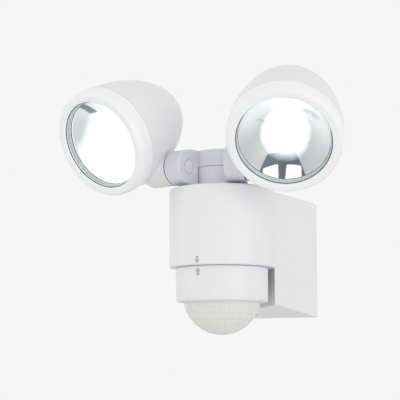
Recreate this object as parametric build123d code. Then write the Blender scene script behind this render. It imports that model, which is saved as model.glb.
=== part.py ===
"""Twin-head motion sensor security light, for a wall.

Millimetres. The origin is the centre of the wall face. The wall is the plane Y = 0, the light
stands off it towards -Y, +X is to the right for someone who faces the light, and +Z is up.
The sensor and both arms turn about one upright axis, AXIS_FROM_WALL in front of the wall.
Each arm is drawn as a right arm that points along +X, and each head as a right head that looks
along -Y. place_arm and place_head then turn them to the pose in which the light rests.
"""
import math
import os

from build123d import *

# ---- resting pose, degrees
SWEEP = {"right": 17.0, "left": 15.0}        # each arm is swept back from the X axis
DROP = {"right": 38.0, "left": 27.5}         # each head looks down from level

# ---- clearances
RUNNING_FIT = 0.05       # radial, a shaft in its bore
FREE_GAP = 0.3           # between faces that pass each other
SEAT_GAP = 0.05          # between a loose piece and its seat

# ---- housing
AXIS_FROM_WALL = 112.0
HOUSING_RADIUS = 40.0
HOUSING_HALF_WIDTH = 34.0
HOUSING_TOP = 47.0
HOUSING_WALL = 2.5
HOUSING_EDGE = 2.5       # rounding of the top edge
RIM_Z = -13.0            # lower rim of the round front
RECESS_RADIUS = 40.6     # round recess for the sensor, below the rim
RECESS_BOTTOM = -40.5    # bottom of the box at the recess corners
WALL_BOTTOM = -47.5      # bottom of the box at the wall
COLLAR_RADIUS = 16.0
COLLAR_HEIGHT = 1.0

# ---- wall plate and its seal
PLATE_THICKNESS = 2.0
PLATE_INSET = 0.8        # plate edge inside the housing's outline
GASKET_THICKNESS = 1.0
GASKET_WIDTH = 1.6
LIP_DEPTH = 6.0
LIP_WALL = 2.0
FIXING_RADIUS = 2.3
FIXING_SPACING_X = 44.0
FIXING_SPACING_Z = 64.0
CABLE_Z = -16.0
CABLE_BORE = 3.5
GROMMET_RADIUS = 6.0
GROMMET_FLANGE = 8.5
GROMMET_FLANGE_DEPTH = 2.0
LUG_WIDTH = 12.0
LUG_DEPTH = 12.0
LUG_HEIGHT = 10.0

# ---- housing screw
SCREW_RADIUS = 1.75
SCREW_HEAD_RADIUS = 3.2
SCREW_HEAD_HEIGHT = 2.0
SCREW_LENGTH = 12.0
SCREW_HOLE = 2.1
SCREW_POCKET = 3.8
SCREW_SEAT = 3.0         # thickness of housing floor left under the screw head
CROSS_LENGTH = 4.0       # cross slot in a screw head
CROSS_WIDTH = 0.8
CROSS_DEPTH = 1.0

# ---- mains terminals
TERMINAL_WIDTH = 30.0
TERMINAL_DEPTH = 14.0
TERMINAL_HEIGHT = 13.0
TERMINAL_Z = 12.0
TERMINAL_PITCH = 9.0
TERMINAL_HOLE = 2.0
TERMINAL_SCREW_RADIUS = 1.9
TERMINAL_SCREW_LENGTH = 3.5
TERMINAL_SCREW_SUNK = 0.4  # screw's face inside the block's face
TERMINAL_SLOT_WIDTH = 0.6
TERMINAL_SLOT_DEPTH = 0.8

# ---- lamp driver
BOARD_THICKNESS = 1.6
DRIVER_FROM_WALL = 44.0
DRIVER_BOTTOM = -34.0
DRIVER_HEIGHT = 62.0
RIB_THICKNESS = 2.0
RIB_REACH = 3.0
TRANSFORMER_WIDTH = 24.0
TRANSFORMER_DEPTH = 18.0
TRANSFORMER_HEIGHT = 20.0
TRANSFORMER_Z = -6.0
CAPACITOR_RADIUS = 5.0
CAPACITOR_LENGTH = 20.0
CAPACITOR_PITCH = 13.0
CAPACITOR_Z = 18.0
CAPACITOR_ROUND = 0.8
TRANSFORMER_ROUND = 1.5

# ---- setting knobs
KNOB_FROM_SIDE = 4.5     # lux knob's axis from the housing's inner side
KNOB_PITCH = 12.0        # time knob's axis from the lux knob's
KNOB_Y = -27.0
KNOB_RADIUS = 3.4
KNOB_SLOT = 1.0
KNOB_RECESS = 0.6        # knob face above the housing's underside
KNOB_TOP_GAP = 0.3
POT_SIZE = 8.0
POT_HEIGHT = 3.0
CONTROL_BOARD_BOTTOM = -31.0
CONTROL_BOARD_MARGIN = 2.5  # board's edge from the housing's inner side
CONTROL_BOARD_DEPTH = 22.0

# ---- sensor
SENSOR_RADIUS = 35.0
SENSOR_DRAFT = 0.2       # the ring is this much smaller at its foot
SENSOR_TOP_GAP = 0.8     # under the rim of the housing
SENSOR_BOTTOM = -39.0
SENSOR_WALL = 2.6
SENSOR_TOP_THICKNESS = 2.5
SENSOR_LIP_THICKNESS = 2.5
SENSOR_CHAMFER = 1.3
HUB_RADIUS = 20.0
HUB_BORE = 16.0
HUB_ABOVE_FLOOR = 4.0
CLIP_RADIUS = 23.0
CLIP_THICKNESS = 1.6
CLIP_SLIT = 4.0
DOME_RADIUS = 29.6
DOME_CENTRE = -34.0
DOME_THICKNESS = 1.6
DOME_FLANGE = 2.0
RETAINER_WALL = 1.8
SENSOR_BOARD_Z = -24.0
PYRO_RADIUS = 4.6
PYRO_HEIGHT = 4.5
PYRO_WINDOW = 4.0
PYRO_WINDOW_DEPTH = 0.4
PYRO_FOOT = 0.5          # foot's edge beyond the can
PYRO_FOOT_HEIGHT = 0.6
LIGHT_SENSOR_RADIUS = 2.5
LIGHT_SENSOR_HEIGHT = 3.0
LIGHT_SENSOR_OFFSET = 14.0
LIGHT_SENSOR_ROUND = 1.0
SENSOR_POST_RADIUS = 3.0
SENSOR_POST_CIRCLE = 25.0
SENSOR_POSTS = 3
SMALL_SCREW_RADIUS = 1.25
SMALL_SCREW_HEAD = 2.4
SMALL_SCREW_HEAD_HEIGHT = 1.4
SMALL_SCREW_LENGTH = 6.0

# ---- upright pivot
SPINDLE_RADIUS = 6.0
SPINDLE_BORE = 3.8
SPINDLE_FLANGE = 9.0
SPINDLE_FLANGE_HEIGHT = 2.0
SPINDLE_BELOW_TOP = 9.0  # spindle's end below the housing's top face
NUT_HEIGHT = 4.5
NUT_ACROSS = 18.0
WASHER_THICKNESS = 0.5
WASHER_RADIUS = 13.0
CAP_THICKNESS = 1.6
CAP_RECESS = 0.2
CAP_ROUND = 0.6
CAP_OVER_FLANGE = 0.5    # cap's edge beyond the spindle's flange
CAP_PLUG_DEPTH = 2.0     # plug's reach into the spindle
CAP_GAP = 0.5            # between the cap and the arm that turns round it
LEAD_HOLE = 2.0
LEAD_FROM_MIDDLE = 3.5   # height of each arm's lead above or below the tilt axis

# ---- arms
KNUCKLE_Z = 62.5
KNUCKLE_RADIUS = 13.1
KNUCKLE_FORWARD = 28.0   # tilt axis in front of the pivot axis
KNUCKLE_INNER = 7.3      # inner face, sideways from the pivot axis
KNUCKLE_OUTER = 22.2
KNUCKLE_BEVEL = 1.0
BARREL_RADIUS = 19.5
BARREL_TOP = 75.5
BARREL_SPLIT = 62.9
BARREL_BORE_FLOOR = 71.0
NECK_SHOULDER = 13.0     # where the neck's outer face starts, in front of the pivot axis
NECK_LEAN = 15.0         # degrees round the barrel to the neck's root
CAP_POCKET_RADIUS = 5.2
CAP_POCKET_RIM = 6.7
CAP_POCKET_RIM_DEPTH = 0.9
CAP_POCKET_DEPTH = 7.0
SCREW_CAP_THICKNESS = 1.5
SCREW_CAP_ROUND = 0.5
TILT_TUBE_RADIUS = 4.0
TILT_TUBE_BORE = 2.4
TILT_NUT_RADIUS = 4.9
TILT_NUT_HEIGHT = 2.6
TILT_TUBE_PROUD = 0.6    # tube's inner end beyond the nut
TILT_OUTER_NUT_ACROSS = 13.0
TILT_OUTER_NUT_HEIGHT = 4.0
TILT_TUBE_END = 35.0
TILT_WASHER_THICKNESS = 0.6
TILT_WASHER_RADIUS = 10.5

# ---- lamp heads, measured from the tilt axis: sideways, forward, up
HEAD_SIDEWAYS = 56.0
HEAD_FORWARD = 36.5      # tilt axis to the plane of the rim
HEAD_UP = 36.0           # tilt axis to the axis of the lamp
RIM_RADIUS = 40.2
BODY_RADIUS = 42.0
BODY_FROM_RIM = 8.0      # widest section, behind the rim
BODY_LENGTH = 80.0       # widest section to the back
SHELL_WALL = 2.5
PARTING = 13.5           # bezel meets the rear shell, behind the rim
LAP_WALL = 1.2           # thickness of the lap inside the bezel
MOUTH_RADIUS = 34.4
MOUTH_DEPTH = 2.0
MOUTH_EDGE = 0.8
GLASS_RADIUS = 36.4
GLASS_THICKNESS = 3.2
GLASS_CHAMFER = 0.5
SEAL_WIDTH = 2.4
SEAL_THICKNESS = 1.4
BOSS_END = 47.0
BOSS_WALL = 4.0
BOSS_CAVITY_RADIUS = 8.5
BOSS_CAVITY_END = 41.0
BOSS_ROUND = 3.0
REFLECTOR_MOUTH = 34.6
REFLECTOR_THROAT = 8.5
REFLECTOR_DEPTH = 27.0
REFLECTOR_WALL = 1.0
REFLECTOR_FLANGE = 38.9
REFLECTOR_FLANGE_THICKNESS = 1.2
REFLECTOR_BEHIND_GLASS = 0.5  # bowl's front edge behind the glass
CHIP_RADIUS = 7.0
CHIP_THICKNESS = 1.2
LED_BOARD_RADIUS = 15.0
SINK_RADIUS = 30.5
SINK_BASE = 3.0
SINK_LENGTH = 16.0
SINK_FINS = 9
SINK_FIN_THICKNESS = 1.4
SINK_FIN_RADIUS = 23.0
SINK_POST_RADIUS = 3.0
HEAD_SCREWS = 3
HEAD_SCREW_CIRCLE = 27.0
HEAD_SCREW_LENGTH = 7.0

# ---- worked out from the above
UP = (Align.CENTER, Align.CENTER, Align.MIN)
HOUSING_BACK = -(PLATE_THICKNESS + GASKET_THICKNESS)
RECESS_CORNER_Y = -AXIS_FROM_WALL + math.sqrt(RECESS_RADIUS**2 - HOUSING_HALF_WIDTH**2)
BOTTOM_SLOPE = (RECESS_BOTTOM - WALL_BOTTOM) / -RECESS_CORNER_Y
CAVITY_HALF_WIDTH = HOUSING_HALF_WIDTH - HOUSING_WALL
CAVITY_FLOOR = RECESS_BOTTOM + HOUSING_WALL
LUX_KNOB_X = KNOB_FROM_SIDE - CAVITY_HALF_WIDTH
KNOB_X = {"time": LUX_KNOB_X + KNOB_PITCH, "lux": LUX_KNOB_X}
RIM_FLOOR_TOP = RIM_Z + HOUSING_WALL
SENSOR_TOP = RIM_Z - SENSOR_TOP_GAP
SENSOR_INSIDE = SENSOR_RADIUS - SENSOR_WALL
SENSOR_CEILING = SENSOR_TOP - SENSOR_TOP_THICKNESS
SENSOR_LIP_TOP = SENSOR_BOTTOM + SENSOR_LIP_THICKNESS
BARREL_FOOT = HOUSING_TOP + COLLAR_HEIGHT + WASHER_THICKNESS
UPPER_FOOT = BARREL_SPLIT + WASHER_THICKNESS / 2
LOWER_TOP = BARREL_SPLIT - WASHER_THICKNESS / 2
SEAM = KNUCKLE_OUTER + TILT_WASHER_THICKNESS
CAP_POCKET_FLOOR = KNUCKLE_INNER + CAP_POCKET_DEPTH
SCREW_Y = HOUSING_BACK - LUG_DEPTH / 2
SCREW_HEAD_SEAT = CAVITY_FLOOR - SCREW_SEAT
GLASS_FRONT = MOUTH_DEPTH + SEAL_THICKNESS
GLASS_BACK = GLASS_FRONT + GLASS_THICKNESS
REFLECTOR_BACK = GLASS_BACK + REFLECTOR_DEPTH
LED_BOARD_FRONT = REFLECTOR_BACK + CHIP_THICKNESS
SINK_FRONT = LED_BOARD_FRONT + BOARD_THICKNESS


# ---- small helpers
def post(radius, bottom, top):
    """Upright cylinder on the Z axis."""
    return Pos(0, 0, bottom) * Cylinder(radius, top - bottom, align=UP)


def ring(outer, inner, bottom, top):
    """Upright ring on the Z axis."""
    return post(outer, bottom, top) - post(inner, bottom - 1, top + 1)


def block(x, y, z):
    """Box from three (low, high) pairs."""
    size = [high - low for low, high in (x, y, z)]
    middle = [(low + high) / 2 for low, high in (x, y, z)]
    return Pos(*middle) * Box(*size)


def sideways(shape):
    """Turns a shape drawn along +Z so that it lies along +X."""
    return Rot(0, 90, 0) * shape


def turned(profile):
    """Solid of revolution about Z, from edges drawn as (radius, height)."""
    return revolve(Plane.XZ * make_face(profile), axis=Axis.Z)


def on_axis(shape):
    """Moves a shape drawn about the Z axis to the upright axis of the light."""
    return Pos(0, -AXIS_FROM_WALL, 0) * shape


def around(shape, count, radius, start=0.0):
    """Copies of a shape, evenly spaced on a circle about the Z axis."""
    copies = []
    for number in range(count):
        copies.append(Rot(0, 0, start + 360.0 * number / count) * Pos(radius, 0, 0) * shape)
    return Compound(children=copies)


def place_arm(shape, side):
    """Turns a shape drawn on the straight right arm to its resting sweep."""
    if side == "left":
        shape = mirror(shape, about=Plane.YZ)
        return on_axis(Rot(0, 0, -SWEEP["left"]) * shape)
    return on_axis(Rot(0, 0, SWEEP["right"]) * shape)


def place_head(shape, side):
    """Tilts a shape drawn about the tilt axis, and puts it on its arm."""
    tilted = Pos(0, -KNUCKLE_FORWARD, KNUCKLE_Z) * Rot(DROP[side], 0, 0) * shape
    return place_arm(tilted, side)


def in_lamp(shape):
    """Moves a shape drawn behind the rim, along +Z from it, to the lamp's axis.

    In a head's own drawing the rim's plane is HEAD_FORWARD in front of the tilt axis.
    """
    return Pos(HEAD_SIDEWAYS, -HEAD_FORWARD, HEAD_UP) * Rot(-90, 0, 0) * shape


def bottom_at(y):
    """Height of the housing's underside at a distance from the wall."""
    return WALL_BOTTOM - BOTTOM_SLOPE * y


# ---- housing
def keyhole(radius, half_width, bottom, top, back):
    """Round front and straight-sided back, as one upright prism."""
    return on_axis(post(radius, bottom, top)) + block(
        (-half_width, half_width), (-AXIS_FROM_WALL, back), (bottom, top)
    )


def housing_outside():
    upper = keyhole(HOUSING_RADIUS, HOUSING_HALF_WIDTH, RIM_Z, HOUSING_TOP, HOUSING_BACK)
    top_edges = upper.faces().sort_by(Axis.Z)[-1].edges()
    rounded = [edge for edge in top_edges if edge.center().Y < HOUSING_BACK - 1]
    upper = fillet(rounded, HOUSING_EDGE)
    side_view = Polyline(
        (-AXIS_FROM_WALL, RIM_Z),
        (-AXIS_FROM_WALL, bottom_at(-AXIS_FROM_WALL)),
        (HOUSING_BACK, bottom_at(HOUSING_BACK)),
        (HOUSING_BACK, RIM_Z),
        close=True,
    )
    lower = extrude(Plane.YZ * make_face(side_view), HOUSING_HALF_WIDTH, both=True)
    lower -= on_axis(post(RECESS_RADIUS, WALL_BOTTOM - 10, RIM_Z))
    collar = on_axis(post(COLLAR_RADIUS, HOUSING_TOP - HOUSING_WALL, HOUSING_TOP + COLLAR_HEIGHT))
    return upper + lower + collar


def housing_cavity():
    upper = keyhole(
        HOUSING_RADIUS - HOUSING_WALL, CAVITY_HALF_WIDTH, RIM_FLOOR_TOP, HOUSING_TOP - HOUSING_WALL, 0
    )
    lower = block(
        (-CAVITY_HALF_WIDTH, CAVITY_HALF_WIDTH), (-AXIS_FROM_WALL, 0), (CAVITY_FLOOR, RIM_FLOOR_TOP)
    )
    lower -= on_axis(post(RECESS_RADIUS + HOUSING_WALL, CAVITY_FLOOR - 1, RIM_FLOOR_TOP))
    return upper + lower


def board_ribs():
    """Two pairs of ribs inside the side walls, which hold the driver board's edges."""
    ribs = []
    front = -DRIVER_FROM_WALL - BOARD_THICKNESS / 2 - SEAT_GAP
    back = -DRIVER_FROM_WALL + BOARD_THICKNESS / 2 + SEAT_GAP
    for side in (-1, 1):
        outer = side * CAVITY_HALF_WIDTH
        inner = side * (CAVITY_HALF_WIDTH - RIB_REACH)
        x = (min(inner, outer), max(inner, outer))
        for y in ((front - RIB_THICKNESS, front), (back, back + RIB_THICKNESS)):
            ribs.append(block(x, y, (CAVITY_FLOOR, DRIVER_BOTTOM + DRIVER_HEIGHT)))
    return ribs


def housing_shell():
    shell = housing_outside() - housing_cavity()
    for rib in board_ribs():
        shell += rib
    shell -= on_axis(post(SPINDLE_RADIUS + RUNNING_FIT, RIM_FLOOR_TOP + 5, HOUSING_TOP + 5))
    shell -= on_axis(post(HUB_RADIUS + RUNNING_FIT, RIM_Z - 1, RIM_FLOOR_TOP + 1))
    shell -= Pos(0, SCREW_Y, 0) * post(SCREW_HOLE, WALL_BOTTOM - 5, CAVITY_FLOOR + 1)
    shell -= Pos(0, SCREW_Y, 0) * post(SCREW_POCKET, WALL_BOTTOM - 5, SCREW_HEAD_SEAT)
    for x in KNOB_X.values():
        shell -= Pos(x, KNOB_Y, 0) * post(KNOB_RADIUS + RUNNING_FIT, WALL_BOTTOM - 5, CAVITY_FLOOR + 1)
    return shell


def housing_screw():
    head = post(SCREW_HEAD_RADIUS, SCREW_HEAD_SEAT - SCREW_HEAD_HEIGHT, SCREW_HEAD_SEAT)
    face = SCREW_HEAD_SEAT - SCREW_HEAD_HEIGHT
    cross = block(
        (-CROSS_LENGTH / 2, CROSS_LENGTH / 2), (-CROSS_WIDTH / 2, CROSS_WIDTH / 2), (face, face + CROSS_DEPTH)
    )
    shank = post(SCREW_RADIUS, SCREW_HEAD_SEAT, SCREW_HEAD_SEAT + SCREW_LENGTH)
    return Pos(0, SCREW_Y, 0) * (head + shank - cross - Rot(0, 0, 90) * cross)


# ---- wall plate
def wall_plate():
    half = HOUSING_HALF_WIDTH - PLATE_INSET
    plate_z = (WALL_BOTTOM + PLATE_INSET, HOUSING_TOP - PLATE_INSET)
    plate = block((-half, half), (-PLATE_THICKNESS, 0), plate_z)
    lip_half = CAVITY_HALF_WIDTH - FREE_GAP
    lip_z = (CAVITY_FLOOR + FREE_GAP, HOUSING_TOP - HOUSING_WALL - FREE_GAP)
    lip_y = (-PLATE_THICKNESS - LIP_DEPTH, -PLATE_THICKNESS)
    lip = block((-lip_half, lip_half), lip_y, lip_z)
    lip -= block(
        (-lip_half + LIP_WALL, lip_half - LIP_WALL),
        (lip_y[0] - 1, lip_y[1]),
        (lip_z[0] + LIP_WALL, lip_z[1] - LIP_WALL),
    )
    lug_y = (HOUSING_BACK - LUG_DEPTH, -PLATE_THICKNESS)
    lug = block((-LUG_WIDTH / 2, LUG_WIDTH / 2), lug_y, (lip_z[0], lip_z[0] + LUG_HEIGHT))
    plate = plate + lip + lug
    plate -= Pos(0, SCREW_Y, 0) * post(SCREW_RADIUS + RUNNING_FIT, lip_z[0] - 1, lip_z[0] + LUG_HEIGHT - 1)
    for x in (-FIXING_SPACING_X / 2, FIXING_SPACING_X / 2):
        for z in (-FIXING_SPACING_Z / 2, FIXING_SPACING_Z / 2):
            plate -= wall_hole(FIXING_RADIUS, x, z)
    return plate - wall_hole(GROMMET_RADIUS, 0, CABLE_Z)


def wall_hole(radius, x, z):
    """Cutter through the wall plate, square to the wall."""
    return Pos(x, 5, z) * Rot(90, 0, 0) * post(radius, 0, PLATE_THICKNESS + 10)


def wall_gasket():
    half = HOUSING_HALF_WIDTH - PLATE_INSET
    y = (HOUSING_BACK, -PLATE_THICKNESS)
    bottom = WALL_BOTTOM + PLATE_INSET
    top = HOUSING_TOP - PLATE_INSET
    outside = block((-half, half), y, (bottom, top))
    inside = block(
        (-half + GASKET_WIDTH, half - GASKET_WIDTH),
        (y[0] - 1, y[1] + 1),
        (CAVITY_FLOOR, top - GASKET_WIDTH),
    )
    return outside - inside


def cable_grommet():
    """Rubber bush: its neck fills the plate's hole and its flange lies inside."""
    neck = post(GROMMET_RADIUS, 0, PLATE_THICKNESS)
    flange = post(GROMMET_FLANGE, PLATE_THICKNESS, PLATE_THICKNESS + GROMMET_FLANGE_DEPTH)
    bush = neck + flange - post(CABLE_BORE, -1, PLATE_THICKNESS + GROMMET_FLANGE_DEPTH + 1)
    return Pos(0, 0, CABLE_Z) * Rot(90, 0, 0) * bush


# ---- electrics in the housing
def terminal_y():
    return (-PLATE_THICKNESS - TERMINAL_DEPTH, -PLATE_THICKNESS)


def terminal_places():
    return [(number - 1) * TERMINAL_PITCH for number in range(3)]


def terminal_block():
    y = terminal_y()
    top = TERMINAL_Z + TERMINAL_HEIGHT
    body = block((-TERMINAL_WIDTH / 2, TERMINAL_WIDTH / 2), y, (TERMINAL_Z, top))
    middle_z = TERMINAL_Z + TERMINAL_HEIGHT / 2
    for x in terminal_places():
        wire_way = Pos(x, sum(y) / 2, 0) * post(TERMINAL_HOLE, TERMINAL_Z - 1, top + 1)
        screw_way = Pos(x, y[0] - 1, middle_z) * Rot(-90, 0, 0) * post(
            TERMINAL_SCREW_RADIUS + RUNNING_FIT, 0, 1 + TERMINAL_SCREW_SUNK + TERMINAL_SCREW_LENGTH + SEAT_GAP
        )
        body = body - wire_way - screw_way
    return body


def terminal_screws():
    screws = []
    middle_z = TERMINAL_Z + TERMINAL_HEIGHT / 2
    reach = TERMINAL_SCREW_RADIUS + 1
    across = TERMINAL_SLOT_WIDTH / 2
    slot = block((-reach, reach), (-across, across), (0, TERMINAL_SLOT_DEPTH))
    for x in terminal_places():
        screw = post(TERMINAL_SCREW_RADIUS, 0, TERMINAL_SCREW_LENGTH) - slot
        screws.append(Pos(x, terminal_y()[0] + TERMINAL_SCREW_SUNK, middle_z) * Rot(-90, 0, 0) * screw)
    return Compound(children=screws)


def driver_board():
    half = CAVITY_HALF_WIDTH - FREE_GAP
    y = (-DRIVER_FROM_WALL - BOARD_THICKNESS / 2, -DRIVER_FROM_WALL + BOARD_THICKNESS / 2)
    return block((-half, half), y, (DRIVER_BOTTOM, DRIVER_BOTTOM + DRIVER_HEIGHT))


def driver_face():
    """The board's face that looks away from the wall."""
    return -DRIVER_FROM_WALL - BOARD_THICKNESS / 2


def driver_transformer():
    half = TRANSFORMER_WIDTH / 2
    y = (driver_face() - TRANSFORMER_DEPTH, driver_face())
    core = block((-half, half), y, (TRANSFORMER_Z, TRANSFORMER_Z + TRANSFORMER_HEIGHT))
    return fillet(core.edges().filter_by(Axis.Y), TRANSFORMER_ROUND)


def driver_capacitors():
    can = fillet(post(CAPACITOR_RADIUS, 0, CAPACITOR_LENGTH).edges().sort_by(Axis.Z)[-1], CAPACITOR_ROUND)
    cans = []
    for x in (-CAPACITOR_PITCH / 2, CAPACITOR_PITCH / 2):
        cans.append(Pos(x, driver_face(), CAPACITOR_Z + CAPACITOR_RADIUS) * Rot(90, 0, 0) * can)
    return Compound(children=cans)


def control_board():
    y = (KNOB_Y - CONTROL_BOARD_DEPTH / 2, KNOB_Y + CONTROL_BOARD_DEPTH / 2)
    half = CAVITY_HALF_WIDTH - CONTROL_BOARD_MARGIN
    return block((-half, half), y, (CONTROL_BOARD_BOTTOM, CONTROL_BOARD_BOTTOM + BOARD_THICKNESS))


def adjuster_pots():
    pots = []
    for x in KNOB_X.values():
        pots.append(
            block(
                (x - POT_SIZE / 2, x + POT_SIZE / 2),
                (KNOB_Y - POT_SIZE / 2, KNOB_Y + POT_SIZE / 2),
                (CONTROL_BOARD_BOTTOM - POT_HEIGHT, CONTROL_BOARD_BOTTOM),
            )
        )
    return Compound(children=pots)


def setting_knob(name):
    face = bottom_at(KNOB_Y) + KNOB_RECESS
    top = CONTROL_BOARD_BOTTOM - POT_HEIGHT - KNOB_TOP_GAP
    knob = post(KNOB_RADIUS, face, top)
    slot = block((-KNOB_RADIUS - 1, KNOB_RADIUS + 1), (-KNOB_SLOT / 2, KNOB_SLOT / 2), (face - 1, face + 1))
    return Pos(KNOB_X[name], KNOB_Y, 0) * (knob - slot)


# ---- upright pivot
def pivot_spindle():
    foot = HOUSING_TOP - SPINDLE_BELOW_TOP
    shank = post(SPINDLE_RADIUS, foot, BARREL_BORE_FLOOR + SEAT_GAP)
    flange = post(
        SPINDLE_FLANGE, BARREL_BORE_FLOOR + SEAT_GAP, BARREL_BORE_FLOOR + SEAT_GAP + SPINDLE_FLANGE_HEIGHT
    )
    spindle = shank + flange - post(SPINDLE_BORE, foot - 1, BARREL_TOP)
    for side in ("left", "right"):
        spindle -= lead_way(side)
    return on_axis(spindle)


def lead_height(side):
    """The left arm's lead leaves the spindle in the upper barrel, the right arm's in the lower."""
    return KNUCKLE_Z + (LEAD_FROM_MIDDLE if side == "left" else -LEAD_FROM_MIDDLE)


def lead_way(side):
    """Cutter for the way of the lead, from the spindle into the knuckle's pocket, at rest."""
    start = Vector(0, 0, lead_height(side))
    end = Vector(KNUCKLE_INNER + CAP_POCKET_DEPTH / 2, -KNUCKLE_FORWARD + 2, lead_height(side))
    way = end - start
    cutter = Plane(origin=start, z_dir=way) * Cylinder(LEAD_HOLE, way.length, align=UP)
    if side == "left":
        return Rot(0, 0, -SWEEP["left"]) * mirror(cutter, about=Plane.YZ)
    return Rot(0, 0, SWEEP["right"]) * cutter


def pivot_nut():
    top = HOUSING_TOP - HOUSING_WALL
    outline = RegularPolygon(NUT_ACROSS / 2, 6, major_radius=False)
    hexagon = extrude(Plane.XY.offset(top - NUT_HEIGHT) * outline, NUT_HEIGHT)
    return on_axis(hexagon - post(SPINDLE_RADIUS + SEAT_GAP, top - NUT_HEIGHT - 1, top + 1))


def pivot_washers():
    """One under the lower barrel and one between the two barrels."""
    lower = ring(WASHER_RADIUS, SPINDLE_RADIUS + SEAT_GAP, HOUSING_TOP + COLLAR_HEIGHT, BARREL_FOOT)
    middle = ring(WASHER_RADIUS, SPINDLE_RADIUS + SEAT_GAP, LOWER_TOP, UPPER_FOOT)
    return on_axis(Compound(children=[lower, middle]))


def pivot_cap():
    top = BARREL_TOP - CAP_RECESS
    foot = BARREL_BORE_FLOOR + SEAT_GAP + SPINDLE_FLANGE_HEIGHT
    disc = post(SPINDLE_FLANGE + CAP_OVER_FLANGE, top - CAP_THICKNESS, top)
    disc = fillet(disc.edges().sort_by(Axis.Z)[-1], CAP_ROUND)
    plug = post(SPINDLE_BORE - SEAT_GAP, foot - CAP_PLUG_DEPTH, top - CAP_THICKNESS)
    return on_axis(disc + plug)


# ---- sensor
def sensor_ring():
    body = turned(
        Polyline(
            (0, SENSOR_TOP),
            (SENSOR_RADIUS, SENSOR_TOP),
            (SENSOR_RADIUS - SENSOR_DRAFT, SENSOR_BOTTOM + SENSOR_CHAMFER),
            (SENSOR_RADIUS - SENSOR_DRAFT - SENSOR_CHAMFER, SENSOR_BOTTOM),
            (0, SENSOR_BOTTOM),
            close=True,
        )
    )
    body -= post(SENSOR_INSIDE, SENSOR_LIP_TOP, SENSOR_CEILING)
    body -= post(DOME_RADIUS + FREE_GAP, SENSOR_BOTTOM - 1, SENSOR_LIP_TOP + 1)
    body += ring(HUB_RADIUS, HUB_BORE, SENSOR_CEILING, RIM_FLOOR_TOP + HUB_ABOVE_FLOOR)
    body -= post(HUB_BORE, SENSOR_CEILING - 1, SENSOR_TOP + 1)
    stand = post(SENSOR_POST_RADIUS, SENSOR_BOARD_Z + BOARD_THICKNESS, SENSOR_CEILING)
    stand -= post(SMALL_SCREW_RADIUS + SEAT_GAP, SENSOR_BOARD_Z, SENSOR_CEILING - 1)
    for number in range(SENSOR_POSTS):
        body += Rot(0, 0, 360.0 * number / SENSOR_POSTS) * Pos(SENSOR_POST_CIRCLE, 0, 0) * stand
    return on_axis(body)


def sensor_clip():
    """Spring ring on the hub, above the housing's floor, which carries the sensor."""
    bottom = RIM_FLOOR_TOP + FREE_GAP
    clip = ring(CLIP_RADIUS, HUB_RADIUS, bottom, bottom + CLIP_THICKNESS)
    slit_y = (-CLIP_SLIT / 2, CLIP_SLIT / 2)
    slit = block((0, CLIP_RADIUS + 1), slit_y, (bottom - 1, bottom + CLIP_THICKNESS + 1))
    return on_axis(clip - slit)


def dome_lens():
    outer = Pos(0, 0, DOME_CENTRE) * Sphere(DOME_RADIUS)
    inner = Pos(0, 0, DOME_CENTRE) * Sphere(DOME_RADIUS - DOME_THICKNESS)
    above = post(DOME_RADIUS + 5, SENSOR_LIP_TOP, DOME_CENTRE + DOME_RADIUS + 5)
    bowl = outer - inner - above
    flange = ring(
        SENSOR_INSIDE - SEAT_GAP, DOME_RADIUS - DOME_THICKNESS, SENSOR_LIP_TOP, SENSOR_LIP_TOP + DOME_FLANGE
    )
    return on_axis(bowl + flange)


def lens_retainer():
    outer = SENSOR_INSIDE - SEAT_GAP
    return on_axis(ring(outer, outer - RETAINER_WALL, SENSOR_LIP_TOP + DOME_FLANGE, SENSOR_BOARD_Z))


def sensor_board():
    board = post(SENSOR_INSIDE - SEAT_GAP, SENSOR_BOARD_Z, SENSOR_BOARD_Z + BOARD_THICKNESS)
    for number in range(SENSOR_POSTS):
        hole = post(SMALL_SCREW_RADIUS + SEAT_GAP, SENSOR_BOARD_Z - 1, SENSOR_BOARD_Z + BOARD_THICKNESS + 1)
        board -= Rot(0, 0, 360.0 * number / SENSOR_POSTS) * Pos(SENSOR_POST_CIRCLE, 0, 0) * hole
    return on_axis(board)


def small_screw(length):
    """Pan-head screw along +Z, its head below Z = 0."""
    head = post(SMALL_SCREW_HEAD, -SMALL_SCREW_HEAD_HEIGHT, 0)
    head = fillet(head.edges().sort_by(Axis.Z)[0], SMALL_SCREW_HEAD_HEIGHT / 2)
    return head + post(SMALL_SCREW_RADIUS, 0, length)


def sensor_screws():
    screw = Pos(0, 0, SENSOR_BOARD_Z) * small_screw(SMALL_SCREW_LENGTH)
    return on_axis(around(screw, SENSOR_POSTS, SENSOR_POST_CIRCLE))


def pyro_sensor():
    can = post(PYRO_RADIUS, SENSOR_BOARD_Z - PYRO_HEIGHT, SENSOR_BOARD_Z)
    foot = post(PYRO_RADIUS + PYRO_FOOT, SENSOR_BOARD_Z - PYRO_FOOT_HEIGHT, SENSOR_BOARD_Z)
    face = SENSOR_BOARD_Z - PYRO_HEIGHT
    across = (-PYRO_WINDOW / 2, PYRO_WINDOW / 2)
    window = block(across, across, (face - 1, face + PYRO_WINDOW_DEPTH))
    return on_axis(can + foot - window)


def light_sensor():
    dome = post(LIGHT_SENSOR_RADIUS, SENSOR_BOARD_Z - LIGHT_SENSOR_HEIGHT, SENSOR_BOARD_Z)
    dome = fillet(dome.edges().sort_by(Axis.Z)[0], LIGHT_SENSOR_ROUND)
    return on_axis(Pos(0, -LIGHT_SENSOR_OFFSET, 0) * dome)


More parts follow.
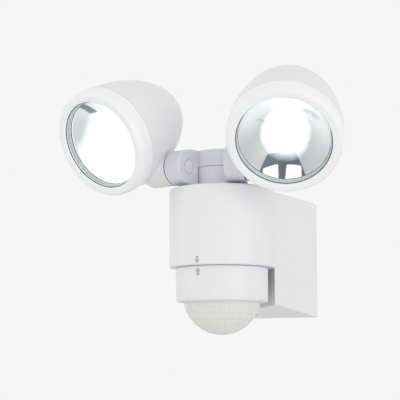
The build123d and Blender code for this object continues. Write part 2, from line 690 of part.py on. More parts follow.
# ---- arms
def knuckle():
    """Level round body at the end of an arm, with its screw-cap pocket."""
    length = KNUCKLE_OUTER - KNUCKLE_INNER
    drum = chamfer(post(KNUCKLE_RADIUS, 0, length).edges().sort_by(Axis.Z)[0], KNUCKLE_BEVEL)
    return Pos(KNUCKLE_INNER, -KNUCKLE_FORWARD, KNUCKLE_Z) * sideways(drum)


def neck():
    """Block from the barrel to the knuckle, as high as the knuckle."""
    plan = Polyline(
        (KNUCKLE_INNER, 0),
        (KNUCKLE_INNER, -KNUCKLE_FORWARD),
        (KNUCKLE_OUTER, -KNUCKLE_FORWARD),
        (KNUCKLE_OUTER, -NECK_SHOULDER),
        (BARREL_RADIUS * math.cos(math.radians(NECK_LEAN)), 0),
        close=True,
    )
    return extrude(Plane.XY.offset(KNUCKLE_Z - KNUCKLE_RADIUS) * make_face(plan), 2 * KNUCKLE_RADIUS)


def arm(side):
    """The left arm has the upper barrel and the right arm the lower one."""
    if side == "left":
        own = (UPPER_FOOT, BARREL_TOP)
        other = (BARREL_FOOT - 5, UPPER_FOOT)
    else:
        own = (BARREL_FOOT, LOWER_TOP)
        other = (LOWER_TOP, BARREL_TOP + 5)
    body = knuckle() + neck()
    body -= post(BARREL_RADIUS + FREE_GAP, *other)
    body += post(BARREL_RADIUS, *own)
    body -= post(SPINDLE_RADIUS + RUNNING_FIT, own[0] - 1, own[1] + 1)
    if side == "left":
        body -= post(SPINDLE_FLANGE + CAP_OVER_FLANGE + CAP_GAP, BARREL_BORE_FLOOR, BARREL_TOP + 1)
    body -= tilt_axis(post(CAP_POCKET_RADIUS, 0, CAP_POCKET_DEPTH), KNUCKLE_INNER)
    countersink = Pos(0, 0, CAP_POCKET_RIM_DEPTH / 2) * Cone(
        CAP_POCKET_RIM, CAP_POCKET_RADIUS, CAP_POCKET_RIM_DEPTH
    )
    body -= tilt_axis(countersink, KNUCKLE_INNER)
    bore_length = KNUCKLE_OUTER - KNUCKLE_INNER + 1
    body -= tilt_axis(post(TILT_TUBE_RADIUS + SEAT_GAP, 0, bore_length), KNUCKLE_INNER)
    if side == "left":
        straight = mirror(Rot(0, 0, SWEEP[side]) * lead_way("left"), about=Plane.YZ)
    else:
        straight = Rot(0, 0, -SWEEP[side]) * lead_way("right")
    body -= straight
    return place_arm(body, side)


def tilt_axis(shape, start):
    """Puts a shape drawn along +Z on the tilt axis, from a place along the straight arm."""
    return Pos(start, -KNUCKLE_FORWARD, KNUCKLE_Z) * sideways(shape)


def tilt_tube(side):
    """Hollow bolt through knuckle and boss."""
    start = CAP_POCKET_FLOOR - TILT_NUT_HEIGHT - TILT_TUBE_PROUD
    tube = ring(TILT_TUBE_RADIUS, TILT_TUBE_BORE, 0, TILT_TUBE_END - start)
    return place_arm(tilt_axis(tube, start), side)


def tilt_nuts(side):
    """Round slotted nut in the pocket, and a hexagon nut inside the boss."""
    inner = ring(TILT_NUT_RADIUS, TILT_TUBE_RADIUS + SEAT_GAP, 0, TILT_NUT_HEIGHT)
    inner = tilt_axis(inner, CAP_POCKET_FLOOR - TILT_NUT_HEIGHT)
    outer = extrude(RegularPolygon(TILT_OUTER_NUT_ACROSS / 2, 6, major_radius=False), TILT_OUTER_NUT_HEIGHT)
    outer -= post(TILT_TUBE_RADIUS + SEAT_GAP, -1, TILT_OUTER_NUT_HEIGHT + 1)
    outer = tilt_axis(outer, SEAM + BOSS_WALL + SEAT_GAP)
    return place_arm(Compound(children=[inner, outer]), side)


def tilt_washer(side):
    washer = ring(TILT_WASHER_RADIUS, TILT_TUBE_RADIUS + SEAT_GAP, 0, TILT_WASHER_THICKNESS)
    return place_arm(tilt_axis(washer, KNUCKLE_OUTER), side)


def screw_cap(side):
    """Round cap that closes the pocket in the knuckle's inner face."""
    cap = post(CAP_POCKET_RADIUS - SEAT_GAP, 0, SCREW_CAP_THICKNESS)
    cap = fillet(cap.edges().sort_by(Axis.Z)[0], SCREW_CAP_ROUND)
    return place_arm(tilt_axis(cap, KNUCKLE_INNER + CAP_POCKET_RIM_DEPTH), side)


# ---- lamp heads
def egg(inset, front):
    """The body's shape, drawn along +Z from the rim, made smaller by an inset.

    Behind the widest section it is half of an ellipsoid, drawn as a smooth curve.
    """
    side = BODY_RADIUS - inset
    length = BODY_LENGTH - inset
    rim = RIM_RADIUS - inset
    steps = 8
    curve = []
    for number in range(steps + 1):
        turn = math.radians(90 * number / steps)
        curve.append((side * math.cos(turn), BODY_FROM_RIM + length * math.sin(turn)))
    profile = [
        Line((0, front), (rim, front)),
        TangentArc((side, BODY_FROM_RIM), (rim, front), tangent=(0, -1)),
        Spline(*curve, tangents=[(0, 1), (-1, 0)]),
        Line((0, BODY_FROM_RIM + length), (0, front)),
    ]
    return turned(profile)


def slab(front, back):
    """Wide disc that keeps a head's layers between two depths behind the rim."""
    return post(BODY_RADIUS + 10, front, back)


def bezel(side):
    """Front ring of the body, which holds the glass against its lip."""
    front = (egg(0, 0) - egg(SHELL_WALL, MOUTH_DEPTH)) & slab(-1, PARTING)
    front -= post(MOUTH_RADIUS, -1, MOUTH_DEPTH + 1)
    ledge = egg(SHELL_WALL / 2, 0) & slab(MOUTH_DEPTH, GLASS_BACK - FREE_GAP)
    front += ledge - post(GLASS_RADIUS + SEAT_GAP, MOUTH_DEPTH - 1, GLASS_BACK)
    mouth_edge = front.edges().filter_by(GeomType.CIRCLE).sort_by(Axis.Z)[:2].sort_by(SortBy.RADIUS)[0]
    front = fillet(mouth_edge, MOUTH_EDGE)
    return place_head(in_lamp(front), side)


def nut_room():
    """Room inside boss and shell for the tilt tube's nut and the lead."""
    start = SEAM + BOSS_WALL
    return Pos(start, 0, 0) * sideways(post(BOSS_CAVITY_RADIUS, 0, BOSS_CAVITY_END - start))


def boss(side):
    """Round boss on the tilt axis, which is closed on top by the shell that it stands out of."""
    drum = post(KNUCKLE_RADIUS, 0, BOSS_END - SEAM)
    drum = fillet(drum.edges().sort_by(Axis.Z)[-1], BOSS_ROUND)
    drum -= post(TILT_TUBE_RADIUS + RUNNING_FIT, -1, BOSS_WALL + 1)
    body = Pos(SEAM, 0, 0) * sideways(drum) - nut_room() - in_lamp(egg(0, 0))
    return place_head(body, side)


def shell_lap():
    """Thin inner rim of the rear shell, which reaches into the bezel up to the reflector's flange."""
    flange_back = GLASS_BACK + REFLECTOR_FLANGE_THICKNESS
    tip = egg(SHELL_WALL + SEAT_GAP, 0) & slab(flange_back + SEAT_GAP, PARTING + 1)
    root = egg(SHELL_WALL / 2, 0) & slab(PARTING, PARTING + 1)
    return tip + root - egg(SHELL_WALL + LAP_WALL, -1)


def sink_posts():
    """Posts inside the rear shell, which the heat sink is screwed to."""
    stand = post(SINK_POST_RADIUS, SINK_FRONT + SINK_BASE, BODY_LENGTH)
    stand -= post(SMALL_SCREW_RADIUS + SEAT_GAP, SINK_FRONT, SINK_FRONT + HEAD_SCREW_LENGTH + 1)
    posts = []
    for number in range(HEAD_SCREWS):
        turn = Rot(0, 0, 90 + 360.0 * number / HEAD_SCREWS)
        posts.append(turn * Pos(HEAD_SCREW_CIRCLE, 0, 0) * stand & egg(SHELL_WALL / 2, 0))
    return posts


def rear_shell(side):
    """Egg-shaped shell, with its lap, the heat sink's posts and the way into the boss."""
    shell = egg(0, 0) - egg(SHELL_WALL, MOUTH_DEPTH) - slab(-5, PARTING)
    shell += shell_lap()
    for stand in sink_posts():
        shell += stand
    shell = in_lamp(shell) - nut_room()
    shell -= Pos(SEAM, 0, 0) * sideways(post(TILT_TUBE_RADIUS + RUNNING_FIT, -1, BOSS_WALL + 1))
    return place_head(shell, side)


def glass(side):
    disc = post(GLASS_RADIUS, GLASS_FRONT, GLASS_BACK)
    disc = chamfer(disc.edges().sort_by(Axis.Z)[0], GLASS_CHAMFER)
    return place_head(in_lamp(disc), side)


def glass_seal(side):
    seal = ring(GLASS_RADIUS, GLASS_RADIUS - SEAL_WIDTH, MOUTH_DEPTH, GLASS_FRONT)
    return place_head(in_lamp(seal), side)


def reflector_curve(radius_inset):
    """Parabola through the mouth and the throat, as a spline."""
    mouth = REFLECTOR_MOUTH - radius_inset
    throat = REFLECTOR_THROAT - radius_inset
    points = []
    steps = 6
    for number in range(steps + 1):
        radius = mouth + (throat - mouth) * number / steps
        fall = (mouth**2 - radius**2) / (mouth**2 - throat**2)
        depth = REFLECTOR_BEHIND_GLASS + (REFLECTOR_DEPTH - REFLECTOR_BEHIND_GLASS) * fall
        points.append((radius, GLASS_BACK + depth))
    return points


def reflector(side):
    inner = reflector_curve(REFLECTOR_WALL)
    outer = reflector_curve(0)
    profile = [
        Spline(*inner),
        Line(inner[-1], outer[-1]),
        Spline(*outer),
        Line(outer[0], inner[0]),
    ]
    bowl = turned(profile)
    flange_back = GLASS_BACK + REFLECTOR_FLANGE_THICKNESS
    flange = ring(REFLECTOR_FLANGE, REFLECTOR_MOUTH - REFLECTOR_WALL, GLASS_BACK, flange_back)
    return place_head(in_lamp(bowl + flange), side)


def led_chip(side):
    chip = post(CHIP_RADIUS, REFLECTOR_BACK, REFLECTOR_BACK + CHIP_THICKNESS)
    return place_head(in_lamp(chip), side)


def led_board(side):
    board = post(LED_BOARD_RADIUS, LED_BOARD_FRONT, LED_BOARD_FRONT + BOARD_THICKNESS)
    return place_head(in_lamp(board), side)


def heat_sink(side):
    """Round base with straight fins, behind the board."""
    sink = post(SINK_RADIUS, SINK_FRONT, SINK_FRONT + SINK_BASE)
    pitch = 2 * SINK_FIN_RADIUS / SINK_FINS
    round_end = post(SINK_FIN_RADIUS, SINK_FRONT, SINK_FRONT + SINK_LENGTH)
    for number in range(SINK_FINS):
        x = (number - (SINK_FINS - 1) / 2) * pitch
        fin = block(
            (x - SINK_FIN_THICKNESS / 2, x + SINK_FIN_THICKNESS / 2),
            (-SINK_FIN_RADIUS, SINK_FIN_RADIUS),
            (SINK_FRONT + SINK_BASE - 0.5, SINK_FRONT + SINK_LENGTH),
        )
        sink += fin & round_end
    hole = post(SMALL_SCREW_RADIUS + SEAT_GAP, SINK_FRONT - 1, SINK_FRONT + SINK_BASE + 1)
    for number in range(HEAD_SCREWS):
        sink -= Rot(0, 0, 90 + 360.0 * number / HEAD_SCREWS) * Pos(HEAD_SCREW_CIRCLE, 0, 0) * hole
    return place_head(in_lamp(sink), side)


def head_screws(side):
    """Three screws through the heat sink's base."""
    screw = Pos(0, 0, SINK_FRONT) * small_screw(HEAD_SCREW_LENGTH)
    return place_head(in_lamp(around(screw, HEAD_SCREWS, HEAD_SCREW_CIRCLE, 90)), side)


# ---- all nodes
def nodes():
    parts = {
        "wall_plate": wall_plate(),
        "wall_gasket": wall_gasket(),
        "housing_shell": housing_shell(),
        "housing_screw": housing_screw(),
        "cable_grommet": cable_grommet(),
        "terminal_block": terminal_block(),
        "terminal_screws": terminal_screws(),
        "driver_board": driver_board(),
        "driver_transformer": driver_transformer(),
        "driver_capacitors": driver_capacitors(),
        "control_board": control_board(),
        "adjuster_pots": adjuster_pots(),
        "time_knob": setting_knob("time"),
        "lux_knob": setting_knob("lux"),
        "pivot_spindle": pivot_spindle(),
        "pivot_nut": pivot_nut(),
        "pivot_washers": pivot_washers(),
        "pivot_cap": pivot_cap(),
        "sensor_ring": sensor_ring(),
        "sensor_clip": sensor_clip(),
        "dome_lens": dome_lens(),
        "lens_retainer": lens_retainer(),
        "sensor_board": sensor_board(),
        "sensor_screws": sensor_screws(),
        "pyro_sensor": pyro_sensor(),
        "light_sensor": light_sensor(),
    }
    for side in ("left", "right"):
        parts[side + "_arm"] = arm(side)
        parts[side + "_tilt_tube"] = tilt_tube(side)
        parts[side + "_tilt_nuts"] = tilt_nuts(side)
        parts[side + "_tilt_washer"] = tilt_washer(side)
        parts[side + "_screw_cap"] = screw_cap(side)
        parts[side + "_bezel"] = bezel(side)
        parts[side + "_rear_shell"] = rear_shell(side)
        parts[side + "_boss"] = boss(side)
        parts[side + "_glass"] = glass(side)
        parts[side + "_glass_seal"] = glass_seal(side)
        parts[side + "_reflector"] = reflector(side)
        parts[side + "_led_chip"] = led_chip(side)
        parts[side + "_led_board"] = led_board(side)
        parts[side + "_heat_sink"] = heat_sink(side)
        parts[side + "_head_screws"] = head_screws(side)
    return parts


os.makedirs("parts", exist_ok=True)
for name, shape in nodes().items():
    export_step(shape, "parts/" + name + ".step")
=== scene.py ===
"""Looks of a twin-head motion sensor security light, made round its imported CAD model.

Laid out as an add-on and run as a script. Lengths inside the helpers are metres. The origin is the
centre of the wall face, +Y runs into the wall and +Z up.
"""

import math

import bmesh
import bpy
from bpy.props import FloatProperty, FloatVectorProperty, IntProperty, PointerProperty
from mathutils import Matrix, Vector


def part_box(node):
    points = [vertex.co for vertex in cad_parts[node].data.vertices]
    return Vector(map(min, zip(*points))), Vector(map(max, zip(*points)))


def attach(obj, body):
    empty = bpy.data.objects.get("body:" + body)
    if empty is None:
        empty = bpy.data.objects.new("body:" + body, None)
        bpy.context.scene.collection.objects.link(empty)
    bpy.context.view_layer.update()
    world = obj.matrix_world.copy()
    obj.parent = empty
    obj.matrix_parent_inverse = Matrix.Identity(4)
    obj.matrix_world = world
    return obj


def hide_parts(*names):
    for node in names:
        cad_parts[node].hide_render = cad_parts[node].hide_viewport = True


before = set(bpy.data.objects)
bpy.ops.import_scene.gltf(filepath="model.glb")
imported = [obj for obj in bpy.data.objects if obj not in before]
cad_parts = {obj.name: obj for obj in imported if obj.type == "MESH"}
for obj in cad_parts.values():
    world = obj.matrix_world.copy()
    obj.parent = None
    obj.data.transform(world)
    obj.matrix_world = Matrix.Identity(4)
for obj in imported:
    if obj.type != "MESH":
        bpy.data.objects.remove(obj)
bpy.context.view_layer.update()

bl_info = {
    "name": "Motion sensor security light",
    "version": (1, 0, 0),
    "blender": (4, 5, 0),
    "location": "3D View > Sidebar > Security light",
    "description": "Builds the visible pieces, finishes and studio of a twin-head security light",
    "category": "Object",
}

MM = 0.001
SIDES = ("left", "right")
SAME_POINT = 1e-6  # points this near are merged
EDGE_SOFTENING = 0.0004  # radius of the shaded rounding of plastic edges
RING_LEDGE = 0.0025  # thickness of the sensor ring's foot and top
FLANGE_RADIUS = 0.0389  # of the reflector and its seat in the bezel
UNDERSIDE_RUN = 0.0898  # level length of the housing's sloping underside, to a tenth of a millimetre


# ------------------------------------------------------------------ sizes and colours
def length(name, description, millimetres):
    return FloatProperty(
        name=name,
        description=description,
        default=millimetres * MM,
        unit="LENGTH",
        subtype="DISTANCE",
        min=0.0,
    )


def angle(name, description, degrees):
    return FloatProperty(name=name, description=description, default=math.radians(degrees), subtype="ANGLE")


def colour(name, description, rgb):
    return FloatVectorProperty(
        name=name, description=description, default=rgb, subtype="COLOR", size=3, min=0.0, max=1.0
    )


class HousingSizes(bpy.types.PropertyGroup):
    """Sizes of the housing and the sensor."""

    axis_from_wall: length("Axis from wall", "Upright axis in front of the wall", 112.0)
    front_radius: length("Front radius", "Radius of the round front", 40.0)
    half_width: length("Half width", "Half the width of the box behind the front", 34.0)
    top: length("Top", "Top face above the fixing centre", 47.0)
    rim_below: length("Rim below", "Lower rim of the front below the fixing centre", 13.0)
    back_gap: length("Back gap", "Plate and seal between housing and wall", 3.0)
    recess_radius: length("Recess radius", "Round recess behind the sensor", 40.6)
    recess_bottom: length("Recess bottom", "Underside at the recess, below the fixing centre", 40.5)
    wall_bottom: length("Wall bottom", "Underside at the wall, below the fixing centre", 47.5)
    top_round: length("Top round", "Rounding of the top edge", 2.5)
    crease_round: length("Crease round", "Softening where the front meets the box", 3.0)
    collar_radius: length("Collar radius", "Raised collar under the arms", 16.0)
    sensor_radius: length("Sensor radius", "Outside of the sensor's ring", 35.0)
    sensor_bottom: length("Sensor bottom", "Foot of the ring below the fixing centre", 39.0)
    dome_radius: length("Dome radius", "Outside of the lens", 29.6)
    dome_centre: length("Dome centre", "Centre of the lens below the fixing centre", 34.0)


class LampSizes(bpy.types.PropertyGroup):
    """Sizes of the arms and the lamp heads."""

    right_sweep: angle("Right sweep", "Right arm's angle back from square", 17.0)
    left_sweep: angle("Left sweep", "Left arm's angle back from square", 15.0)
    right_drop: angle("Right drop", "Right head's angle below level", 38.0)
    left_drop: angle("Left drop", "Left head's angle below level", 27.5)
    tilt_forward: length("Tilt forward", "Tilt axis in front of the pivot", 28.0)
    tilt_height: length("Tilt height", "Tilt axis above the fixing centre", 62.5)
    head_sideways: length("Head sideways", "Lamp axis outwards from the pivot", 56.0)
    head_forward: length("Head forward", "Rim plane in front of the tilt axis", 36.5)
    head_up: length("Head up", "Lamp axis above the tilt axis", 36.0)
    rim_radius: length("Rim radius", "Outside of the rim", 40.2)
    body_radius: length("Body radius", "Widest part of the head", 42.0)
    widest_depth: length("Widest depth", "Widest part behind the rim", 8.0)
    body_length: length("Body length", "From the widest part to the back", 80.0)
    parting_depth: length("Parting depth", "Joint of bezel and shell behind the rim", 13.5)
    wall: length("Wall", "Thickness of the shell", 2.5)
    mouth_radius: length("Mouth radius", "Opening of the bezel", 34.4)
    knuckle_radius: length("Knuckle radius", "Radius of knuckle and boss", 13.1)
    knuckle_inner: length("Knuckle inner", "Inner face of the knuckle from the pivot", 7.3)
    boss_start: length("Boss start", "Seam of knuckle and boss from the pivot", 23.0)
    boss_end: length("Boss end", "Outer end of the boss from the pivot", 47.0)
    boss_flare: length("Boss flare", "Radius with which the boss runs into the shell", 4.0)
    knuckle_outer: length("Knuckle outer", "Outer face of the knuckle from the pivot", 22.0)
    barrel_radius: length("Barrel radius", "Stacked barrels on the pivot", 19.5)
    barrel_foot: length("Barrel foot", "Foot of the lower barrel above the fixing centre", 48.5)
    barrel_split: length("Barrel split", "Seam between the barrels above the fixing centre", 62.9)
    barrel_gap: length("Barrel gap", "Half the seam between the barrels", 0.14)
    neck_shoulder: length("Neck shoulder", "Start of the neck's slant in front of the pivot", 13.0)
    neck_lean: angle("Neck lean", "Root of the neck round the barrel", 15.0)
    pocket_radius: length("Pocket radius", "Pocket of the knuckle's screw cap", 5.2)
    pocket_rim: length("Pocket rim", "Outer radius of the pocket's slope", 6.7)
    pocket_slope: length("Pocket slope", "Depth of the pocket's slope", 0.9)
    barrel_top: length("Barrel top", "Top of the upper barrel above the fixing centre", 75.5)
    reflector_mouth: length("Reflector mouth", "Radius of the reflector at the glass", 33.6)
    reflector_throat: length("Reflector throat", "Radius of the reflector at the diodes", 7.5)
    reflector_lip: length("Reflector lip", "Flat lip inside the reflector's mouth", 0.5)
    reflector_front: length("Reflector front", "Mouth of the reflector behind the rim", 7.1)
    reflector_back: length("Reflector back", "Throat of the reflector behind the rim", 33.6)


class Colours(bpy.types.PropertyGroup):
    """Colours of the finishes."""

    plastic: colour("Plastic", "White moulded plastic", (0.84, 0.84, 0.85))
    rim: colour("Rim", "Polished front rings", (0.93, 0.93, 0.935))
    # Painted shade: the same white plastic as the rest, made darker and bluer because the arms lie in the
    # heads' shade.
    arm: colour("Arm", "White plastic of the arms, a little cooler", (0.76, 0.76, 0.82))
    lens: colour("Lens", "Milky lens", (0.80, 0.795, 0.775))
    mark: colour("Mark", "Alignment marks", (0.22, 0.22, 0.24))
    pale_seal: colour("Pale seal", "Edge of the glass inside its seal", (0.80, 0.83, 0.85))
    seal: colour("Seal", "Dark seals and washers", (0.035, 0.038, 0.042))
    reflector: colour("Reflector", "Bright metal of the reflector", (0.66, 0.665, 0.67))
    # Painted reflection: the diode board as it shows mirrored in the reflector.
    mirrored: colour("Mirrored board", "Diode board seen in the reflector", (0.17, 0.22, 0.26))
    # Painted shade: soft bluish patches painted on the reflector where it lies in shade.
    painted_shade_patch: colour("Haze", "Dull patches of the reflector", (0.40, 0.46, 0.50))
    light: colour("Light", "Light of the diodes", (1.0, 0.985, 0.95))
    # Painted reflection: the lit diodes as they show in the reflector, painted in and made to glow.
    painted_diode_reflection: colour("Phosphor", "Diodes seen in the reflector", (1.0, 0.97, 0.80))


class Detail(bpy.types.PropertyGroup):
    """Fineness of the meshes and brightness of the stage."""

    along: IntProperty(name="Along", description="Rows of faces along a curved wall", default=72, min=8)
    around: IntProperty(name="Around", description="Columns of faces round a lamp shell", default=128, min=8)
    turned: IntProperty(name="Turned", description="Steps round a turned piece", default=160, min=16)
    lens_around: IntProperty(
        name="Lens around", description="Columns of faces round the lens", default=320, min=32
    )
    backdrop: FloatProperty(name="Backdrop", description="Brightness of the backdrop", default=0.922, min=0.0)
    world_light: FloatProperty(
        name="World light", description="Strength of the plain soft light", default=0.80, min=0.0
    )


def housing_sizes():
    return bpy.context.scene.security_housing


def lamp_sizes():
    return bpy.context.scene.security_lamp


def colours():
    return bpy.context.scene.security_colours


def detail():
    return bpy.context.scene.security_detail


# ------------------------------------------------------------------ places
def upright():
    """From the upright axis to the light's frame."""
    return Matrix.Translation((0, -housing_sizes().axis_from_wall, 0))


def arm_place(side):
    """From the straight right arm to an arm's resting place."""
    sizes = lamp_sizes()
    if side == "left":
        return upright() @ Matrix.Rotation(-sizes.left_sweep, 4, "Z") @ Matrix.Scale(-1, 4, (1, 0, 0))
    return upright() @ Matrix.Rotation(sizes.right_sweep, 4, "Z")


def head_place(side):
    """From a head's tilt axis, +X outwards and -Y forwards, to its resting place."""
    sizes = lamp_sizes()
    drop = sizes.left_drop if side == "left" else sizes.right_drop
    tilt = Matrix.Translation((0, -sizes.tilt_forward, sizes.tilt_height)) @ Matrix.Rotation(drop, 4, "X")
    return arm_place(side) @ tilt


def lamp_place(side):
    """From a lamp's own axis, +Z to the back and +Y down, to its resting place."""
    sizes = lamp_sizes()
    shift = Matrix.Translation((sizes.head_sideways, -sizes.head_forward, sizes.head_up))
    return head_place(side) @ shift @ Matrix.Rotation(math.radians(-90), 4, "X")


# ------------------------------------------------------------------ mesh helpers
def join(shape, rings, closed=False):
    """Faces between neighbouring rings, where a ring of one point is a pole."""
    for low, high in zip(rings, rings[1:] + rings[:1] if closed else rings[1:]):
        count = max(len(low), len(high))
        for number in range(count):
            after = (number + 1) % count
            if len(low) == 1:
                shape.faces.new((low[0], high[after], high[number]))
            elif len(high) == 1:
                shape.faces.new((low[number], low[after], high[0]))
            else:
                shape.faces.new((low[number], low[after], high[after], high[number]))


def solid(shape, rings):
    """Joins rings into a closed solid."""
    join(shape, rings)
    shape.faces.new(list(reversed(rings[0])))
    shape.faces.new(rings[-1])
    return shape


def lathe(profile, steps=96, closed=False, shape=None):
    """Turns (radius, height) points about Z. Points on the axis become poles."""
    shape = shape or bmesh.new()
    rings = []
    for radius, height in profile:
        ring = []
        for step in range(steps if radius > 0 else 1):
            turn = 2 * math.pi * step / steps
            ring.append(shape.verts.new((radius * math.cos(turn), radius * math.sin(turn), height)))
        rings.append(ring)
    join(shape, rings, closed)
    return shape


def square_ring(inner, outer, low, high, steps=128, shape=None):
    """Ring of four plain sides."""
    return lathe([(inner, low), (outer, low), (outer, high), (inner, high)], steps, True, shape)


def outline_prism(outlines):
    """Closed solid from outlines of equal count, each a list of (x, y) and a height or its heights."""
    shape = bmesh.new()
    rings = []
    for points, height in outlines:
        heights = height if isinstance(height, list) else [height] * len(points)
        rings.append([shape.verts.new((x, y, z)) for (x, y), z in zip(points, heights)])
    return solid(shape, rings)


def arc(centre, radius, start, end, steps):
    """Points of a circle's arc, angles in degrees."""
    points = []
    for step in range(steps + 1):
        turn = math.radians(start + (end - start) * step / steps)
        points.append((centre[0] + radius * math.cos(turn), centre[1] + radius * math.sin(turn)))
    return points


def meshed(name, shape):
    """A mesh from a drawn shape, which is dropped."""
    mesh = bpy.data.meshes.new(name)
    shape.to_mesh(mesh)
    shape.free()
    return mesh


def linked(name, data):
    """A new object in the scene."""
    thing = bpy.data.objects.new(name, data)
    bpy.context.scene.collection.objects.link(thing)
    return thing


def evaluated(thing):
    """Shape of an object with its modifiers applied."""
    bpy.context.view_layer.update()
    made = bpy.data.meshes.new_from_object(thing.evaluated_get(bpy.context.evaluated_depsgraph_get()))
    if not made.polygons:
        raise RuntimeError("a shape came out empty")
    shape = bmesh.new()
    shape.from_mesh(made)
    bpy.data.meshes.remove(made)
    return shape


def discard(thing):
    """Removes a helper object and its mesh."""
    mesh = thing.data
    bpy.data.objects.remove(thing)
    bpy.data.meshes.remove(mesh)


def finished(name, shape, place, body, finish, replaces=(), sharp=35.0):
    """A piece from a drawn shape: placed, faces outwards, smooth but for its sharp edges."""
    bmesh.ops.remove_doubles(shape, verts=shape.verts, dist=SAME_POINT)
    shape.transform(place)
    bmesh.ops.recalc_face_normals(shape, faces=shape.faces)
    limit = math.radians(sharp)
    for face in shape.faces:
        face.smooth = True
    for edge in shape.edges:
        edge.smooth = len(edge.link_faces) == 2 and edge.calc_face_angle(0) < limit
    piece = linked(name, meshed(name, shape))
    piece.data.materials.append(finish_for(finish))
    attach(piece, body)
    if replaces:
        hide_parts(*replaces)


def add_shape(shape, other):
    """Adds one drawn shape to another, and drops the other."""
    mesh = meshed("part", other)
    shape.from_mesh(mesh)
    bpy.data.meshes.remove(mesh)


def carved(base, *steps):
    """The base shape with others joined to it or cut from it, as (operation, shape) pairs."""
    things = []
    for shape in (base, *(tool for _operation, tool in steps)):
        bmesh.ops.recalc_face_normals(shape, faces=shape.faces)
        things.append(linked("solid", meshed("solid", shape)))
    for (operation, _shape), tool in zip(steps, things[1:]):
        modifier = things[0].modifiers.new("step", "BOOLEAN")
        modifier.solver = "EXACT"
        modifier.operation = operation
        modifier.object = tool
    result = evaluated(things[0])
    for thing in things:
        discard(thing)
    return result


def drum(radius, low, high, steps=128, place=None, bevel=0.0):
    """Closed cylinder about Z between two heights, its lower edge bevelled, and placed."""
    shape = lathe([(0, low), (radius - bevel, low), (radius, low + bevel), (radius, high), (0, high)], steps)
    bmesh.ops.remove_doubles(shape, verts=shape.verts, dist=SAME_POINT)
    shape.transform(place or Matrix.Identity(4))
    return shape


# ------------------------------------------------------------------ node helpers
class Value:
    """An output of a node, with the usual operators, which add Math nodes."""

    def __init__(self, sheet, socket):
        self.sheet, self.socket = sheet, socket

    def maths(self, operation, *others):
        return self.sheet.maths(operation, self, *others)

    def __add__(self, other):
        return self.maths("ADD", other)

    __radd__ = __add__

    def __mul__(self, other):
        return self.maths("MULTIPLY", other)

    __rmul__ = __mul__

    def __sub__(self, other):
        return self.maths("SUBTRACT", other)

    def __rsub__(self, other):
        return self.sheet.maths("SUBTRACT", other, self)

    def __truediv__(self, other):
        return self.maths("DIVIDE", other)

    def __rtruediv__(self, other):
        return self.sheet.maths("DIVIDE", other, self)

    def __pow__(self, other):
        return self.maths("POWER", other)

    def __abs__(self):
        return self.maths("ABSOLUTE")

    def sine(self):
        return self.maths("SINE")

    def cosine(self):
        return self.maths("COSINE")

    def above(self, other):
        return self.maths("GREATER_THAN", other)

    def fraction(self):
        return self.maths("FRACT")

    def floor(self):
        return self.maths("FLOOR")

    def at_least(self, other):
        return self.maths("MAXIMUM", other)

    def at_most(self, other):
        return self.maths("MINIMUM", other)

    def clipped(self):
        """Kept between 0 and 1."""
        return self.sheet.node("ShaderNodeClamp", [self, 0.0, 1.0])

    def between(self, low, high, soft):
        """1 between two limits, with soft edges."""
        return ((self - low) / soft).clipped() * ((high - self) / soft).clipped()


class Sheet:
    """A node tree that is filled in by calls."""

    def __init__(self, tree):
        self.tree = tree

    def node(self, kind, inputs=(), output=0, **settings):
        """Adds a node: its settings first, then its sockets by name or order."""
        node = self.tree.nodes.new(kind)
        for name, value in settings.items():
            setattr(node, name, value)
        for name, value in inputs.items() if isinstance(inputs, dict) else enumerate(inputs):
            socket = node.inputs[name]
            if isinstance(value, Value):
                self.tree.links.new(value.socket, socket)
            elif value is not None:
                socket.default_value = value
        return Value(self, node.outputs[output]) if node.outputs else node

    def maths(self, operation, *values):
        return self.node("ShaderNodeMath", values, operation=operation)

    def mix(self, factor, first, second):
        """Mixes two colours by a factor."""
        return self.node("ShaderNodeMix", {0: factor, 6: first, 7: second}, 2, data_type="RGBA")

    def parts(self, vector):
        """The three numbers of a vector."""
        split = self.node("ShaderNodeSeparateXYZ", [vector]).socket.node
        return [Value(self, output) for output in split.outputs]


class Finish(Sheet):
    """A material and the usual parts of its sheet."""

    def __init__(self, name):
        self.material = bpy.data.materials.new(name)
        self.material.use_nodes = True
        self.material.node_tree.nodes.clear()
        super().__init__(self.material.node_tree)
        self.place = self.node("ShaderNodeTexCoord", output=3)

    def noise(self, scale, detail=2.0):
        return self.node("ShaderNodeTexNoise", {"Vector": self.place, "Scale": scale, "Detail": detail})

    def bump(self, height, strength, distance, normal=None):
        values = {"Height": height, "Strength": strength, "Distance": distance, "Normal": normal}
        return self.node("ShaderNodeBump", values)

    def done(self, shader):
        self.node("ShaderNodeOutputMaterial", {"Surface": shader})
        return self.material

    def principled(self, values):
        return self.done(self.node("ShaderNodeBsdfPrincipled", values))


def shade(rgb, times=1.0):
    """A colour for a socket, made lighter or darker."""
    return (rgb[0] * times, rgb[1] * times, rgb[2] * times, 1.0)


# ------------------------------------------------------------------ finishes
def plastic_finish(name, rgb, roughness=0.38, grain=900.0, gloss=0.0):
    """Moulded plastic: faint cloudy colour, fine grain and softened edges."""
    finish = Finish(name)
    cloud = finish.noise(14.0, 3.0)
    fine = finish.noise(grain)
    rounded = finish.node("ShaderNodeBevel", {"Radius": EDGE_SOFTENING}, samples=4)
    return finish.principled(
        {
            "Base Color": finish.mix(cloud, shade(rgb, 0.97), shade(rgb, 1.02)),
            "Roughness": cloud * 0.08 + fine * 0.04 + (roughness - 0.06),
            "Normal": finish.bump(fine, 0.10, 0.00005, rounded),
            "IOR": 1.46,
            "Coat Weight": gloss,
            "Coat Roughness": 0.12,
        }
    )


